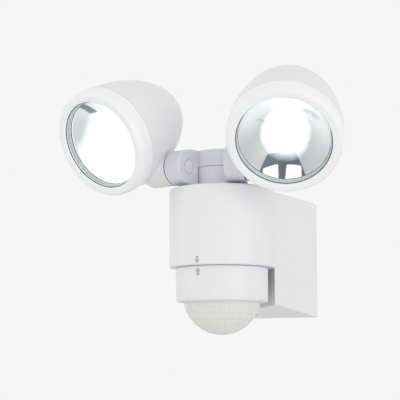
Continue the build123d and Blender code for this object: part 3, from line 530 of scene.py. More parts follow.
def metal_finish(name, rgb, roughness, grain=1600.0, strength=0.05):
    """Plain or cast metal with a fine grain."""
    finish = Finish(name)
    fine = finish.noise(grain, 3.0)
    cloud = finish.noise(60.0)
    return finish.principled(
        {
            "Base Color": finish.mix(cloud, shade(rgb, 0.95), shade(rgb, 1.03)),
            "Metallic": 1.0,
            "Roughness": cloud * 0.06 + fine * 0.05 + (roughness - 0.05),
            "Normal": finish.bump(fine, strength, 0.00003),
        }
    )


def rubber_finish(name, rgb):
    """Dull rubber with a fine grain."""
    finish = Finish(name)
    fine = finish.noise(1400.0, 4.0)
    return finish.principled(
        {
            "Base Color": finish.mix(fine, shade(rgb, 0.7), shade(rgb, 1.4)),
            "Roughness": fine * 0.2 + 0.55,
            "Normal": finish.bump(fine, 0.3, 0.0001),
        }
    )


def board_finish(name):
    """Printed circuit board: green mask with faint tracks."""
    finish = Finish(name)
    tracks = {
        "Vector": finish.place,
        "Scale": 160.0,
        "Color1": (0.03, 0.17, 0.07, 1),
        "Color2": (0.02, 0.12, 0.05, 1),
        "Mortar": (0.10, 0.30, 0.12, 1),
        "Mortar Size": 0.03,
    }
    return finish.principled({"Base Color": finish.node("ShaderNodeTexBrick", tracks), "Roughness": 0.35})


def glass_finish(name):
    """Clear pane: see-through, with a mirror gloss that grows towards grazing views."""
    finish = Finish(name)
    facing = finish.node("ShaderNodeLayerWeight", {"Blend": 0.5}, 1)
    clear = finish.node("ShaderNodeBsdfTransparent", {"Color": (0.985, 0.995, 0.995, 1)})
    wave = finish.bump(finish.noise(40.0, 1.0), 0.02, 0.0005)
    gloss = finish.node("ShaderNodeBsdfGlossy", {"Roughness": 0.04, "Normal": wave})
    return finish.done(finish.node("ShaderNodeMixShader", [facing**4.0 * 0.35 + 0.02, clear, gloss]))


def reflector_finish(name, glow, images):
    """Bright metal with painted light: an emitted white glow near the diodes and a faint emitted glow over
    the rest, with painted reflections of the diode board and the diodes, and painted shade patches.

    It reads a map that holds a place across the lamp's axis in decimetres, 0.5 at the axis. The glow
    is (across, down, radius, fade) and each image (kind, turn, across, start, end, half width at the
    start, growth), in millimetres and degrees.
    """
    tones = colours()
    finish = Finish(name)
    x, y, _z = finish.parts(finish.node("ShaderNodeUVMap", uv_map="across"))
    x, y = (x - 0.5) * 100.0, (y - 0.5) * 100.0
    cloud = finish.noise(45.0)
    streak = finish.noise(160.0, 3.0)
    away = ((x - glow[0]) ** 2.0 + (y - glow[1]) ** 2.0) ** 0.5
    # Painted light: an emitted white glow round the diodes that fades outwards.
    bright = 1 - ((away + cloud * 5.0 - (glow[2] + 2.5)) / glow[3]).clipped()
    base = finish.mix(cloud, shade(tones.reflector, 0.90), shade(tones.reflector, 1.04))
    # Painted light: the whole reflector glows faintly in its own colour.
    lit = finish.mix(cloud, shade(tones.reflector, 0.10), shade(tones.reflector, 0.18))
    looks = {
        # Painted reflections of the diode board, with almost no glow of their own.
        "board": (tones.mirrored, 0.02, 1.0),
        # Painted reflections of the lit diodes, which glow strongly.
        "diode": (tones.painted_diode_reflection, 0.85, (streak * 3.0).clipped()),
        # Painted shade patches, cloudy, with almost no glow.
        "painted_shade_patch": (tones.painted_shade_patch, 0.02, (streak * 2.6 - 0.7).clipped()),
    }
    soft = 0.9
    for kind, turn, across, start, end, half_width, growth in images:
        tone, strength, cover = looks[kind]
        lean = math.radians(turn)
        u = x * math.cos(lean) + y * math.sin(lean) - across
        v = y * math.cos(lean) - x * math.sin(lean)
        reach = (v - start) * growth + half_width
        inside = ((reach - abs(u)) / soft).clipped() * v.between(start, end, soft) * cover
        base = finish.mix(inside, base, shade(tone))
        lit = finish.mix(inside, lit, shade(tone, strength))
    return finish.principled(
        {
            "Base Color": base,
            "Metallic": 1.0,
            "Roughness": streak * 0.08 + 0.36,
            "Normal": finish.bump(streak, 0.04, 0.00005),
            "Emission Color": finish.mix(bright, lit, (1.0, 1.0, 1.0, 1)),
            "Emission Strength": 1.0,
        }
    )


def light_finish(name, rgb, strength):
    """Lit diodes."""
    finish = Finish(name)
    grid = finish.noise(500.0, 1.0)
    return finish.principled(
        {
            "Base Color": finish.mix(grid, shade(rgb, 0.9), shade(rgb)),
            "Roughness": 0.4,
            "Emission Color": finish.mix(grid, shade(rgb, 0.96), shade(rgb)),
            "Emission Strength": strength,
        }
    )


def lens_finish(name, rgb):
    """Milky lens: soft translucent plastic under a faint gloss."""
    finish = Finish(name)
    cloud = finish.noise(30.0)
    fine = finish.noise(700.0)
    return finish.principled(
        {
            "Base Color": finish.mix(cloud, shade(rgb, 0.96), shade(rgb, 1.02)),
            "Roughness": cloud * 0.05 + 0.20,
            "Subsurface Weight": 0.25,
            "Subsurface Radius": (0.004, 0.004, 0.0038),
            "Subsurface Scale": 0.5,
            "Coat Weight": 0.3,
            "Coat Roughness": 0.08,
            "Normal": finish.bump(fine, 0.05, 0.00005),
        }
    )


# Painted light of the reflectors: where each emitted glow sits and how far it reaches, then the painted
# reflections and painted shade patches laid on each reflector.
RIGHT_GLOW = (-0.8, 6.5, 14.5, 5.0)
RIGHT_IMAGES = (
    ("board", 0.0, -5.0, 19.5, 34.0, 10.0, 0.75),
    ("diode", 0.0, -12.4, 26.0, 34.0, 5.4, 0.1),
    ("diode", 0.0, 4.2, 26.8, 34.0, 5.6, 0.1),
    ("painted_shade_patch", 20.0, 11.3, -19.0, -12.6, 9.0, 0.0),
    ("painted_shade_patch", 44.0, -15.4, 8.0, 10.6, 5.0, 0.0),
)
LEFT_GLOW = (2.0, 8.0, 24.5, 7.0)
LEFT_IMAGES = (("board", -10.7, 16.6, -36.0, -18.5, 3.0, 0.0),)
MAKERS = {
    "plastic": lambda: plastic_finish("white_plastic", colours().plastic),
    "plastic_gloss": lambda: plastic_finish("rim_gloss", colours().rim, 0.28, 700.0, 0.1),
    "black": lambda: plastic_finish("black_plastic", (0.03, 0.03, 0.032), 0.45),
    "mark": lambda: plastic_finish("mark_grey", colours().mark, 0.5),
    # The arms' white plastic, with painted shade in its colour.
    "arm": lambda: plastic_finish("arm_plastic", colours().arm, 0.42),
    "seal": lambda: rubber_finish("dark_rubber", colours().seal),
    "pale_seal": lambda: rubber_finish("pale_seal", colours().pale_seal),
    "lens": lambda: lens_finish("milky_lens", colours().lens),
    "glass": lambda: glass_finish("clear_glass"),
    "right_reflector": lambda: reflector_finish("right_reflector", RIGHT_GLOW, RIGHT_IMAGES),
    "left_reflector": lambda: reflector_finish("left_reflector", LEFT_GLOW, LEFT_IMAGES),
    "diode": lambda: light_finish("diode_light", colours().light, 2.5),
    "sink": lambda: metal_finish("cast_aluminium", (0.62, 0.63, 0.65), 0.45, 1200.0, 0.2),
    "steel": lambda: metal_finish("zinc_steel", (0.66, 0.66, 0.67), 0.3),
    "brass": lambda: metal_finish("brass", (0.75, 0.60, 0.30), 0.3),
    "board": lambda: board_finish("circuit_board"),
}
FINISHES = {}


def finish_for(name):
    """A finish's material, which is made once."""
    if name not in FINISHES:
        FINISHES[name] = MAKERS[name]()
    return FINISHES[name]


def dress(finish, *nodes):
    """Gives the CAD nodes that stay their finish."""
    for node in nodes:
        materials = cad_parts[node].data.materials
        materials.clear()
        materials.append(finish_for(finish))


# ------------------------------------------------------------------ geometry node trees
class Recipe(Sheet):
    """A geometry node tree with named inputs."""

    def __init__(self, name):
        super().__init__(bpy.data.node_groups.new(name, "GeometryNodeTree"))
        self.tree.interface.new_socket("Geometry", in_out="OUTPUT", socket_type="NodeSocketGeometry")
        self.keys = {}
        self.source = self.tree.nodes.new("NodeGroupInput")

    def entries(self, kind, *names):
        """Named inputs of one kind."""
        values = []
        for name in names:
            socket = self.tree.interface.new_socket(name, in_out="INPUT", socket_type="NodeSocket" + kind)
            self.keys[name] = socket.identifier
            values.append(Value(self, self.source.outputs[name]))
        return values

    def vector(self, x, y, z):
        return self.node("ShaderNodeCombineXYZ", [x, y, z])

    def folded_grid(self):
        """A grid that runs from a cup's outer pole to its mouth and back to its inner pole.

        Gives the grid, the share of the way round, the share of the way from mouth to pole, the angle
        above the mouth's plane, and 1 on the inner wall.
        """
        mouth = self.entries("Float", "Mouth angle")[0]
        around, along = self.entries("Int", "Around", "Along")
        counts = {"Vertices X": around + 1.0, "Vertices Y": along * 2.0}
        grid = self.node("GeometryNodeMeshGrid", {"Size X": 1.0, "Size Y": 1.0, **counts})
        across, down, _up = self.parts(self.node("GeometryNodeInputPosition"))
        half_step = 1.0 / (along * 2.0 - 1.0)
        fall = (abs(down * 2.0) - half_step) / (1.0 - half_step)
        swing = mouth + fall * (math.pi / 2 - mouth)
        return grid, across + 0.5, fall, swing, down.above(0.0)

    def wrapped(self, grid, across, ring, height):
        """Wraps the grid round Z and closes its seam and poles."""
        turn = across * (2 * math.pi)
        place = self.vector(ring * turn.cosine(), ring * turn.sine(), height)
        moved = self.node("GeometryNodeSetPosition", {"Geometry": grid, "Position": place})
        merged = self.node("GeometryNodeMergeByDistance", {"Geometry": moved, "Distance": SAME_POINT})
        return self.done(merged)

    def done(self, geometry):
        real = self.node("GeometryNodeRealizeInstances", [geometry])
        material = self.entries("Material", "Material")[0]
        painted = self.node("GeometryNodeSetMaterial", {"Geometry": real, "Material": material})
        self.node("NodeGroupOutput", [painted])
        return self

    def made(self, values):
        """A plain shape from the tree, with its inputs set before it is first evaluated."""
        thing = linked("recipe", bpy.data.meshes.new("recipe"))
        modifier = thing.modifiers.new("recipe", "NODES")
        modifier.node_group = self.tree
        for name, value in values.items():
            modifier[self.keys[name]] = value
        shape = evaluated(thing)
        discard(thing)
        return shape


def shell_recipe():
    """Half-ellipsoid shell with a wall: from its outer pole to its mouth and back to its inner pole."""
    recipe = Recipe("lamp_shell_recipe")
    radius, reach, start, wall = recipe.entries("Float", "Radius", "Length", "Widest depth", "Wall")
    grid, across, _fall, swing, inside = recipe.folded_grid()
    inset = inside * wall
    depth = start + (reach - inset) * swing.sine()
    return recipe.wrapped(grid, across, (radius - inset) * swing.cosine(), depth)


def lens_recipe():
    """Dome whose outside carries rows of low cushions, fewer to a row towards its lowest point."""
    recipe = Recipe("dome_lens_recipe")
    radius, wall, relief = recipe.entries("Float", "Radius", "Wall", "Relief")
    rows, columns = recipe.entries("Float", "Rows", "Columns")
    grid, across, fall, swing, inside = recipe.folded_grid()
    row = (fall**0.8 * rows).at_most(7.999)
    middle = (row.floor() + 0.5) / rows
    count = ((1.0 - middle**2.2) * columns).floor().at_least(5.0)
    cell = (across * count + row.floor() * 0.5).fraction()
    pillow = (1.0 - abs(cell * 2.0 - 1.0) ** 6.0) * (1.0 - abs(row.fraction() * 2.0 - 1.0) ** 6.0)
    reach = radius - relief + relief * pillow * (1.0 - inside) - wall * inside
    return recipe.wrapped(grid, across, reach * swing.cosine(), reach * swing.sine() * -1.0)


def tick_recipe():
    """Raised ticks on an arc round a setting knob."""
    recipe = Recipe("dial_tick_recipe")
    radius, long, wide, proud = recipe.entries("Float", "Radius", "Tick length", "Tick width", "Relief")
    sweep = {"Radius": radius, "Start Angle": math.radians(-45), "Sweep Angle": math.radians(270)}
    line = recipe.node("GeometryNodeCurveArc", {"Resolution": recipe.entries("Int", "Count")[0], **sweep})
    bar = recipe.node("GeometryNodeMeshCube", {"Size": recipe.vector(long, wide, proud)})
    points = recipe.node("GeometryNodeCurveToPoints", [line], mode="EVALUATED")
    axes = {"Primary Axis": recipe.node("GeometryNodeInputPosition"), "Secondary Axis": (0.0, 0.0, 1.0)}
    facing = recipe.node("FunctionNodeAxesToRotation", axes, primary_axis="X", secondary_axis="Z")
    spread = {"Points": points, "Instance": bar, "Rotation": facing}
    return recipe.done(recipe.node("GeometryNodeInstanceOnPoints", spread))


# ------------------------------------------------------------------ housing
def keyhole_outline(inset=0.0):
    """Plan of the housing from above, anticlockwise, with the crease between front and box softened."""
    sizes = housing_sizes()
    radius = sizes.front_radius - inset
    half = sizes.half_width - inset
    soft = sizes.crease_round + inset
    back = -sizes.back_gap
    centre_y = -sizes.axis_from_wall
    corner_x = half + soft
    corner_y = centre_y + math.sqrt((radius + soft) ** 2 - corner_x**2)
    lean = math.degrees(math.atan2(corner_y - centre_y, corner_x))
    right = arc((corner_x, corner_y), soft, 180.0 + lean, 180.0, 6)
    front = arc((0.0, centre_y), radius, -180.0 - lean, lean, 96)
    left = [(-x, y) for x, y in reversed(right)]
    return [(-half, back)] + left + front[1:-1] + right + [(half, back)]


def foot_outline(inset):
    """Plan of the cover's foot, drawn in along the round front alone."""
    fade = 0.012
    centre_y = -housing_sizes().axis_from_wall
    points = []
    for (x, y), (inner_x, inner_y) in zip(keyhole_outline(), keyhole_outline(inset)):
        share = min(1.0, max(0.0, (centre_y + fade - y) / fade))
        points.append((x + (inner_x - x) * share, y + (inner_y - y) * share))
    return points


def recess_outline():
    """Plan of the lower box, whose front is cut round for the sensor, anticlockwise."""
    sizes = housing_sizes()
    half = sizes.half_width
    lean = math.degrees(math.acos(half / sizes.recess_radius))
    cut = arc((0.0, -sizes.axis_from_wall), sizes.recess_radius, 180.0 - lean, lean, 48)
    return [(-half, -sizes.back_gap)] + cut + [(half, -sizes.back_gap)]


def upper_box():
    """Keyhole box with its rounded top, whose back edge is drawn straight again."""
    sizes = housing_sizes()
    draw_in, back_band, steps = 0.0006, 0.004, 8
    foot = -sizes.rim_below
    rings = [(foot_outline(draw_in), foot), (keyhole_outline(), foot + draw_in)]
    for step in range(steps + 1):
        turn = math.radians(90 * step / steps)
        inset = sizes.top_round * (1 - math.cos(turn))
        rings.append((keyhole_outline(inset), sizes.top - sizes.top_round * (1 - math.sin(turn))))
    shape = outline_prism(rings)
    for vert in shape.verts:
        if vert.co.y > -sizes.back_gap - back_band:
            vert.co.y = -sizes.back_gap
    return shape


def lower_box():
    """Box with a sloping underside, its lower edges rounded."""
    sizes = housing_sizes()
    edge_round, edge_band, sharp_turn = 0.0006, 0.002, 0.6
    plan = recess_outline()
    run = sizes.axis_from_wall - math.sqrt(sizes.recess_radius**2 - sizes.half_width**2)
    slope = (sizes.wall_bottom - sizes.recess_bottom) / run
    foot = [-sizes.wall_bottom - slope * y for _x, y in plan]
    shape = outline_prism([(plan, foot), (plan, -sizes.rim_below)])
    edges = []
    for edge in shape.edges:
        low = all(vert.co.z < -sizes.recess_bottom + edge_band for vert in edge.verts)
        if low and len(edge.link_faces) == 2 and edge.calc_face_angle(0) > sharp_turn:
            edges.append(edge)
    bmesh.ops.bevel(shape, geom=edges, offset=edge_round, segments=3, affect="EDGES", profile=0.5)
    return shape


class SECURITY_OT_housing(bpy.types.Operator):
    """Housing cover with its rounded top, softened creases, the recess for the sensor and the collar"""

    bl_idname = "security.housing"
    bl_label = "Housing"

    def execute(self, context):
        sizes = housing_sizes()
        shape = carved(upper_box(), ("UNION", lower_box()))
        here = Matrix.Identity(4)
        finished("housing_cover", shape, here, "housing", "plastic", ("housing_shell",), 32)
        rise, bevel = 0.001, 0.0004
        radius, low, high = sizes.collar_radius, sizes.top - rise, sizes.top + rise
        collar = lathe([(0, low), (radius, low), (radius, high - bevel), (radius - bevel, high), (0, high)])
        finished("arm_collar", collar, upright(), "housing", "plastic")
        return {"FINISHED"}


# ------------------------------------------------------------------ sensor
class SECURITY_OT_sensor(bpy.types.Operator):
    """Turning sensor ring with its rounded foot, its hub and the parts inside"""

    bl_idname = "security.sensor"
    bl_label = "Sensor ring"

    def execute(self, context):
        sizes = housing_sizes()
        radius, foot = sizes.sensor_radius, -sizes.sensor_bottom
        top = -sizes.rim_below - 0.0002
        bore = sizes.dome_radius + 0.0003
        edge, lead_in, wall = 0.0008, 0.0006, 0.0026
        hub_inner, hub_outer, hub_rise = 0.016, 0.020, 0.0073
        foot_round = ((0.0002, 0.0013), (0.0004, 0.0008), (0.0009, 0.0003), (0.0015, 0.0))
        profile = [(hub_outer, top), (radius - edge, top)]
        profile += arc((radius - edge, top - edge), edge, 90, 0, 4)[1:]
        profile += [(radius - inwards, foot + up) for inwards, up in foot_round]
        profile += [(bore + lead_in, foot), (bore, foot + lead_in), (bore, foot + RING_LEDGE)]
        profile += [(radius - wall, foot + RING_LEDGE), (radius - wall, top - RING_LEDGE)]
        profile += [(hub_inner, top - RING_LEDGE), (hub_inner, top + hub_rise), (hub_outer, top + hub_rise)]
        ring = lathe(profile, 128, closed=True)
        finished("sensor_collar", ring, upright(), "sensor", "plastic", ("sensor_ring",))
        dress("black", "sensor_clip", "lens_retainer")
        dress("board", "sensor_board")
        dress("steel", "sensor_screws", "pyro_sensor")
        dress("lens", "light_sensor")
        return {"FINISHED"}


class SECURITY_OT_lens(bpy.types.Operator):
    """Milky dome with its rows of lens segments and its hidden flange"""

    bl_idname = "security.lens"
    bl_label = "Dome lens"

    def execute(self, context):
        sizes = housing_sizes()
        radius, centre = sizes.dome_radius, -sizes.dome_centre
        rim = -sizes.sensor_bottom + RING_LEDGE
        flange_radius, flange_thickness, overlap = 0.0323, 0.002, 0.0014
        bowl = lens_recipe().made(
            {
                "Radius": radius,
                "Wall": 0.0012,
                "Mouth angle": math.asin((centre - rim) / radius),
                "Rows": 8.0,
                "Columns": 52.0,
                "Relief": 0.0004,
                "Around": detail().lens_around,
                "Along": 96,
                "Material": finish_for("lens"),
            }
        )
        bowl.transform(Matrix.Translation((0, 0, centre)))
        add_shape(bowl, square_ring(radius - overlap, flange_radius, rim, rim + flange_thickness))
        finished("dome_bowl", bowl, upright(), "sensor", "lens", ("dome_lens",), 60)
        return {"FINISHED"}


# ------------------------------------------------------------------ arms
def on_tilt_axis(along=0.0):
    """From a piece that is turned about Z to the tilt axis, its +Z outwards."""
    sizes = lamp_sizes()
    shift = Matrix.Translation((along, -sizes.tilt_forward, sizes.tilt_height))
    return shift @ Matrix.Rotation(math.radians(90), 4, "Y")


def neck_shape():
    """Block from the barrel to the knuckle, straight inside and slanting outside."""
    sizes = lamp_sizes()
    inner, outer, forward = sizes.knuckle_inner, sizes.knuckle_outer, -sizes.tilt_forward
    root = sizes.barrel_radius * math.cos(sizes.neck_lean)
    root_forward = -sizes.barrel_radius * math.sin(sizes.neck_lean)
    plan = [(inner, 0.0), (inner, forward), (outer, forward), (outer, -sizes.neck_shoulder)]
    plan += [(root, root_forward), (root, 0.0)]
    low, high = sizes.tilt_height - sizes.knuckle_radius, sizes.tilt_height + sizes.knuckle_radius
    return outline_prism([(plan, low), (plan, high)])


def arm_shape(side):
    """Barrel, neck and knuckle with the pocket of its screw cap; the left arm has the upper barrel."""
    sizes = lamp_sizes()
    split, gap = sizes.barrel_split, sizes.barrel_gap
    overlap, clearance, knuckle_bevel, pocket_depth = 0.005, 0.0006, 0.001, 0.006
    if side == "left":
        own, other = (split + gap, sizes.barrel_top), (sizes.barrel_foot - overlap, split + gap)
    else:
        own, other = (sizes.barrel_foot, split - gap), (split - gap, sizes.barrel_top + overlap)
    inner, slope, radius = sizes.knuckle_inner, sizes.pocket_slope, sizes.pocket_radius
    start = inner - 0.001
    mouth = sizes.pocket_rim + 0.001 * (sizes.pocket_rim - radius) / slope
    funnel = lathe([(0, start), (mouth, start), (radius, inner + slope), (0, inner + slope)], 64)
    funnel.transform(on_tilt_axis())
    return carved(
        drum(sizes.knuckle_radius, inner, sizes.knuckle_outer, 128, on_tilt_axis(), knuckle_bevel),
        ("UNION", neck_shape()),
        ("DIFFERENCE", drum(sizes.barrel_radius + clearance, *other)),
        ("UNION", drum(sizes.barrel_radius, *own)),
        ("DIFFERENCE", drum(radius, 0.0, inner + pocket_depth, 64, on_tilt_axis())),
        ("DIFFERENCE", funnel),
    )


class SECURITY_OT_arms(bpy.types.Operator):
    """Both hinge arms with their knuckles, caps, washers and the pivot's parts"""

    bl_idname = "security.arms"
    bl_label = "Arms and pivot"

    def execute(self, context):
        sizes = lamp_sizes()
        seam_gap, washer_inset, washer_bore, cap_sunk = 0.00002, 0.0003, 0.0045, 0.0003
        seam = sizes.knuckle_outer + seam_gap, sizes.boss_start - seam_gap
        cap_profile = [(0, 0.0), (0.0041, 0.0), (0.0047, 0.0002), (0.00485, 0.0007)]
        cap_profile += [(0.00485, 0.002), (0, 0.002)]
        for side in SIDES:
            place, body = arm_place(side), side + "_arm"
            hinge = arm_shape(side)
            finished(side + "_hinge", hinge, place, body, "arm", (side + "_arm",), 30)
            # The tilt washer in dark rubber is a real part, but it is widened to just under the knuckle's
            # surface so that it also paints the seam's shadow as a dark ring.
            washer = square_ring(washer_bore, sizes.knuckle_radius - washer_inset, *seam, 96)
            spot = place @ on_tilt_axis()
            finished(side + "_seam_washer_painted_shadow", washer, spot, body, "seal", (side + "_tilt_washer",))
            cap = lathe(cap_profile, 48)
            spot = place @ on_tilt_axis(sizes.knuckle_inner + cap_sunk)
            name, nodes = side + "_knuckle_cap", (side + "_screw_cap",)
            finished(name, cap, spot, body, "plastic", nodes)
            dress("steel", side + "_tilt_tube", side + "_tilt_nuts")
        dress("plastic", "pivot_cap")
        dress("steel", "pivot_spindle", "pivot_nut")
        dress("seal", "pivot_washers")
        return {"FINISHED"}


# ------------------------------------------------------------------ lamp heads
def body_radius_at(depth):
    """Outside radius of a head at a depth behind the rim."""
    sizes = lamp_sizes()
    if depth >= sizes.widest_depth:
        share = (depth - sizes.widest_depth) / sizes.body_length
        return sizes.body_radius * math.sqrt(max(0.0, 1 - share * share))
    share = 1 - depth / sizes.widest_depth
    return sizes.body_radius - (sizes.body_radius - sizes.rim_radius) * share * share


def boss_shape():
    """Boss on the tilt axis, whose radius grows into the shell near it."""
    sizes = lamp_sizes()
    steps, around = 36, 96
    flare, end_round, seam_inset, ease_length = sizes.boss_flare, 0.003, 0.0004, 0.004
    shape = bmesh.new()
    rings = []
    for step in range(steps + 1):
        x = sizes.boss_start + (sizes.boss_end - sizes.boss_start) * step / steps
        end = max(0.0, x - (sizes.boss_end - end_round)) / end_round
        radius = sizes.knuckle_radius - end_round * (1 - math.sqrt(max(0.0, 1 - end * end)))
        if step == 0:
            radius -= seam_inset
        ease = min(1.0, (x - sizes.boss_start) / ease_length)
        ring = []
        for number in range(around):
            turn = 2 * math.pi * number / around
            y, z = radius * math.cos(turn), radius * math.sin(turn)
            across, up = x - sizes.head_sideways, z - sizes.head_up
            depth = y + sizes.head_forward - sizes.widest_depth
            reach = math.sqrt((across**2 + up**2) / sizes.body_radius**2 + (depth / sizes.body_length) ** 2)
            gap = (reach - 1.0) * sizes.body_radius
            near = flare - min(flare, max(gap, 0.0))
            rise = (flare - math.sqrt(max(0.0, flare**2 - near**2))) * ease * ease
            scale = (radius + rise) / radius
            ring.append(shape.verts.new((x, y * scale, z * scale)))
        rings.append(ring)
    return solid(shape, rings)


class SECURITY_OT_shells(bpy.types.Operator):
    """Egg-shaped rear shells with the bosses that they tilt on"""

    bl_idname = "security.shells"
    bl_label = "Lamp shells"

    def execute(self, context):
        sizes = lamp_sizes()
        recipe = shell_recipe()
        values = {
            "Radius": sizes.body_radius,
            "Length": sizes.body_length,
            "Widest depth": sizes.widest_depth,
            "Mouth angle": math.asin((sizes.parting_depth - sizes.widest_depth) / sizes.body_length),
            "Wall": sizes.wall,
            "Around": detail().around,
            "Along": detail().along,
            "Material": finish_for("plastic"),
        }
        here = Matrix.Identity(4)
        for side in SIDES:
            shape = recipe.made(values)
            shape.transform(lamp_place(side))
            boss = boss_shape()
            boss.transform(head_place(side))
            add_shape(shape, boss)
            name, body, nodes = side + "_lamp_shell", side + "_head", (side + "_rear_shell", side + "_boss")
            finished(name, shape, here, body, "plastic", nodes, 40)
        return {"FINISHED"}


class SECURITY_OT_bezels(bpy.types.Operator):
    """Front rings that hold the glass"""

    bl_idname = "security.bezels"
    bl_label = "Bezels"

    def execute(self, context):
        sizes = lamp_sizes()
        mouth, parting = sizes.mouth_radius, sizes.parting_depth
        lip_round, rim_round, parting_bevel, steps = 0.0009, 0.0011, 0.0003, 14
        lip_depth, seat_radius, seat_depth = 0.002, 0.03645, 0.0063
        lead_in_radius, flange_depth = 0.0382, 0.0082
        profile = arc((mouth + lip_round, lip_round), lip_round, 180, 270, 5)
        profile += arc((sizes.rim_radius - rim_round, rim_round), rim_round, 270, 350, 5)
        for step in range(1, steps + 1):
            depth = rim_round + (parting - parting_bevel - rim_round) * step / steps
            profile.append((body_radius_at(depth), depth))
        end = body_radius_at(parting)
        profile += [(end - parting_bevel, parting - 0.0001), (end - sizes.wall, parting)]
        profile += [(FLANGE_RADIUS, flange_depth), (lead_in_radius, seat_depth), (seat_radius, seat_depth)]
        profile += [(seat_radius, lip_depth), (mouth, lip_depth)]
        for side in SIDES:
            ring = lathe(profile, detail().turned, closed=True)
            name, place, body = side + "_front_ring", lamp_place(side), side + "_head"
            finished(name, ring, place, body, "plastic_gloss", (side + "_bezel",))
        return {"FINISHED"}


def reflector_shape():
    """Bowl with a flat lip, and the map across the lamp's axis that its finish reads."""
    sizes = lamp_sizes()
    lip = sizes.reflector_lip
    mouth, throat = sizes.reflector_mouth, sizes.reflector_throat
    front, back = sizes.reflector_front, sizes.reflector_back
    profile = []
    steps = detail().along
    for step in range(steps + 1):
        radius = (mouth - lip) + (throat - mouth + lip) * step / steps
        fall = (mouth**2 - radius**2) / (mouth**2 - throat**2)
        profile.append((radius, front + (back - front) * fall))
    bowl_wall, wall_back, flange_back, lip_front, lip_fall = 0.001, 0.0006, 0.0084, 0.0004, 0.0001
    profile += [(radius + bowl_wall, depth + wall_back) for radius, depth in reversed(profile[4:])]
    profile += [(FLANGE_RADIUS, flange_back), (FLANGE_RADIUS, front - lip_front)]
    profile += [(mouth, front - lip_front), (mouth - lip, front - lip_fall)]
    shape = lathe(profile, detail().turned, closed=True)
    layer = shape.loops.layers.uv.new("across")
    for face in shape.faces:
        for loop in face.loops:
            loop[layer].uv = (loop.vert.co.x * 10 + 0.5, loop.vert.co.y * 10 + 0.5)
    return shape


def chip_shape():
    """Slightly domed disc of diodes in the reflector's throat."""
    sizes = lamp_sizes()
    radius, depth = sizes.reflector_throat - 0.0005, sizes.reflector_back
    thickness, dome, shoulder = 0.0012, 0.0012, 0.0009
    face = [(0.0, depth - dome), (radius * 0.5, depth - shoulder), (radius, depth)]
    return lathe(face + [(radius, depth + thickness), (0.0, depth + thickness)], 64)


class SECURITY_OT_optics(bpy.types.Operator):
    """Reflectors, diodes, panes, seals and what is behind them"""

    bl_idname = "security.optics"
    bl_label = "Optics"

    def execute(self, context):
        sizes = lamp_sizes()
        front = sizes.reflector_front
        line = sizes.reflector_mouth - sizes.reflector_lip
        groove, half_line, lip_inset, lip_back, lip_radius = 0.0006, 0.0001, 0.0002, 0.0002, 0.0388
        seal_inner, seal_outer, seal_front, seal_back = 0.0339, 0.0364, 0.0021, 0.0024
        pane_inner, pane_outer, pane_front, pane_back = 0.034, 0.0363, 0.0025, 0.0033
        for side in SIDES:
            place, body = lamp_place(side), side + "_head"
            bowl, finish = reflector_shape(), side + "_reflector"
            finished(side + "_bowl", bowl, place, body, finish, (side + "_reflector",), 50)
            chip = chip_shape()
            finished(side + "_diode_disc", chip, place, body, "diode", (side + "_led_chip",))
            seal = square_ring(seal_inner, seal_outer, seal_front, seal_back)
            square_ring(line - half_line, line + half_line, front - groove, front, shape=seal)
            finished(side + "_pane_seal", seal, place, body, "seal", (side + "_glass_seal",))
            edge = square_ring(pane_inner, pane_outer, pane_front, pane_back)
            square_ring(line + lip_inset, lip_radius, front - groove, front - lip_back, shape=edge)
            name, nodes = side + "_pane_edge", (side + "_glass_seal",)
            finished(name, edge, place, body, "pale_seal", nodes)
            dress("glass", side + "_glass")
            dress("board", side + "_led_board")
            dress("sink", side + "_heat_sink")
            dress("steel", side + "_head_screws")
        return {"FINISHED"}


# ------------------------------------------------------------------ wall side and marks
class SECURITY_OT_wall(bpy.types.Operator):
    """Wall plate, seal, grommet and the parts inside the housing"""

    bl_idname = "security.wall"
    bl_label = "Wall plate and inside"

    def execute(self, context):
        dress("plastic", "wall_plate", "terminal_block", "time_knob", "lux_knob")
        dress("seal", "wall_gasket", "cable_grommet")
        dress("steel", "housing_screw")
        dress("brass", "terminal_screws")
        dress("board", "driver_board", "control_board")
        dress("black", "driver_transformer", "driver_capacitors", "adjuster_pots")
        return {"FINISHED"}


def arrow_outline(points_down):
    """Contour of an alignment arrow, in (across, up) metres."""
    sign = -1.0 if points_down else 1.0
    half, stem, tip, neck, foot = 0.0017, 0.0008, 0.0025, 0.0002, -0.0025
    loop = [(0.0, tip), (-half, neck), (-stem, neck), (-stem, foot), (stem, foot), (stem, neck), (half, neck)]
    return [(x, sign * y) for x, y in loop]


def drawn_in(loop, width):
    """A contour moved inwards by a line's width, its corners mitred."""
    corners = [Vector(point) for point in loop]
    following = corners[1:] + corners[:1]
    area = sum(here.x * after.y - after.x * here.y for here, after in zip(corners, following))
    hand = 1.0 if area > 0 else -1.0
    points = []
    for before, here, after in zip(corners[-1:] + corners[:-1], corners, following):
        first, second = (here - before).normalized(), (after - here).normalized()
        first, second = Vector((-first.y, first.x)) * hand, Vector((-second.y, second.x)) * hand
        mitre = (first + second).normalized()
        point = here + mitre * width / max(0.35, mitre.dot(first))
        points.append((point.x, point.y))
    return points


def wrapped_mark(loop, radius, across, height, line=0.00034, relief=0.00015, root=-0.0002):
    """Lays a contour round an upright cylinder as a low raised line."""
    shape = bmesh.new()
    inner = drawn_in(loop, line)
    rings = []
    for out, points in ((root, loop), (relief, loop), (relief, inner), (root, inner)):
        reach = radius + out
        ring = []
        for x, y in points:
            turn = (across + x) / radius
            ring.append(shape.verts.new((reach * math.sin(turn), -reach * math.cos(turn), height + y)))
        rings.append(ring)
    join(shape, rings, closed=True)
    return shape


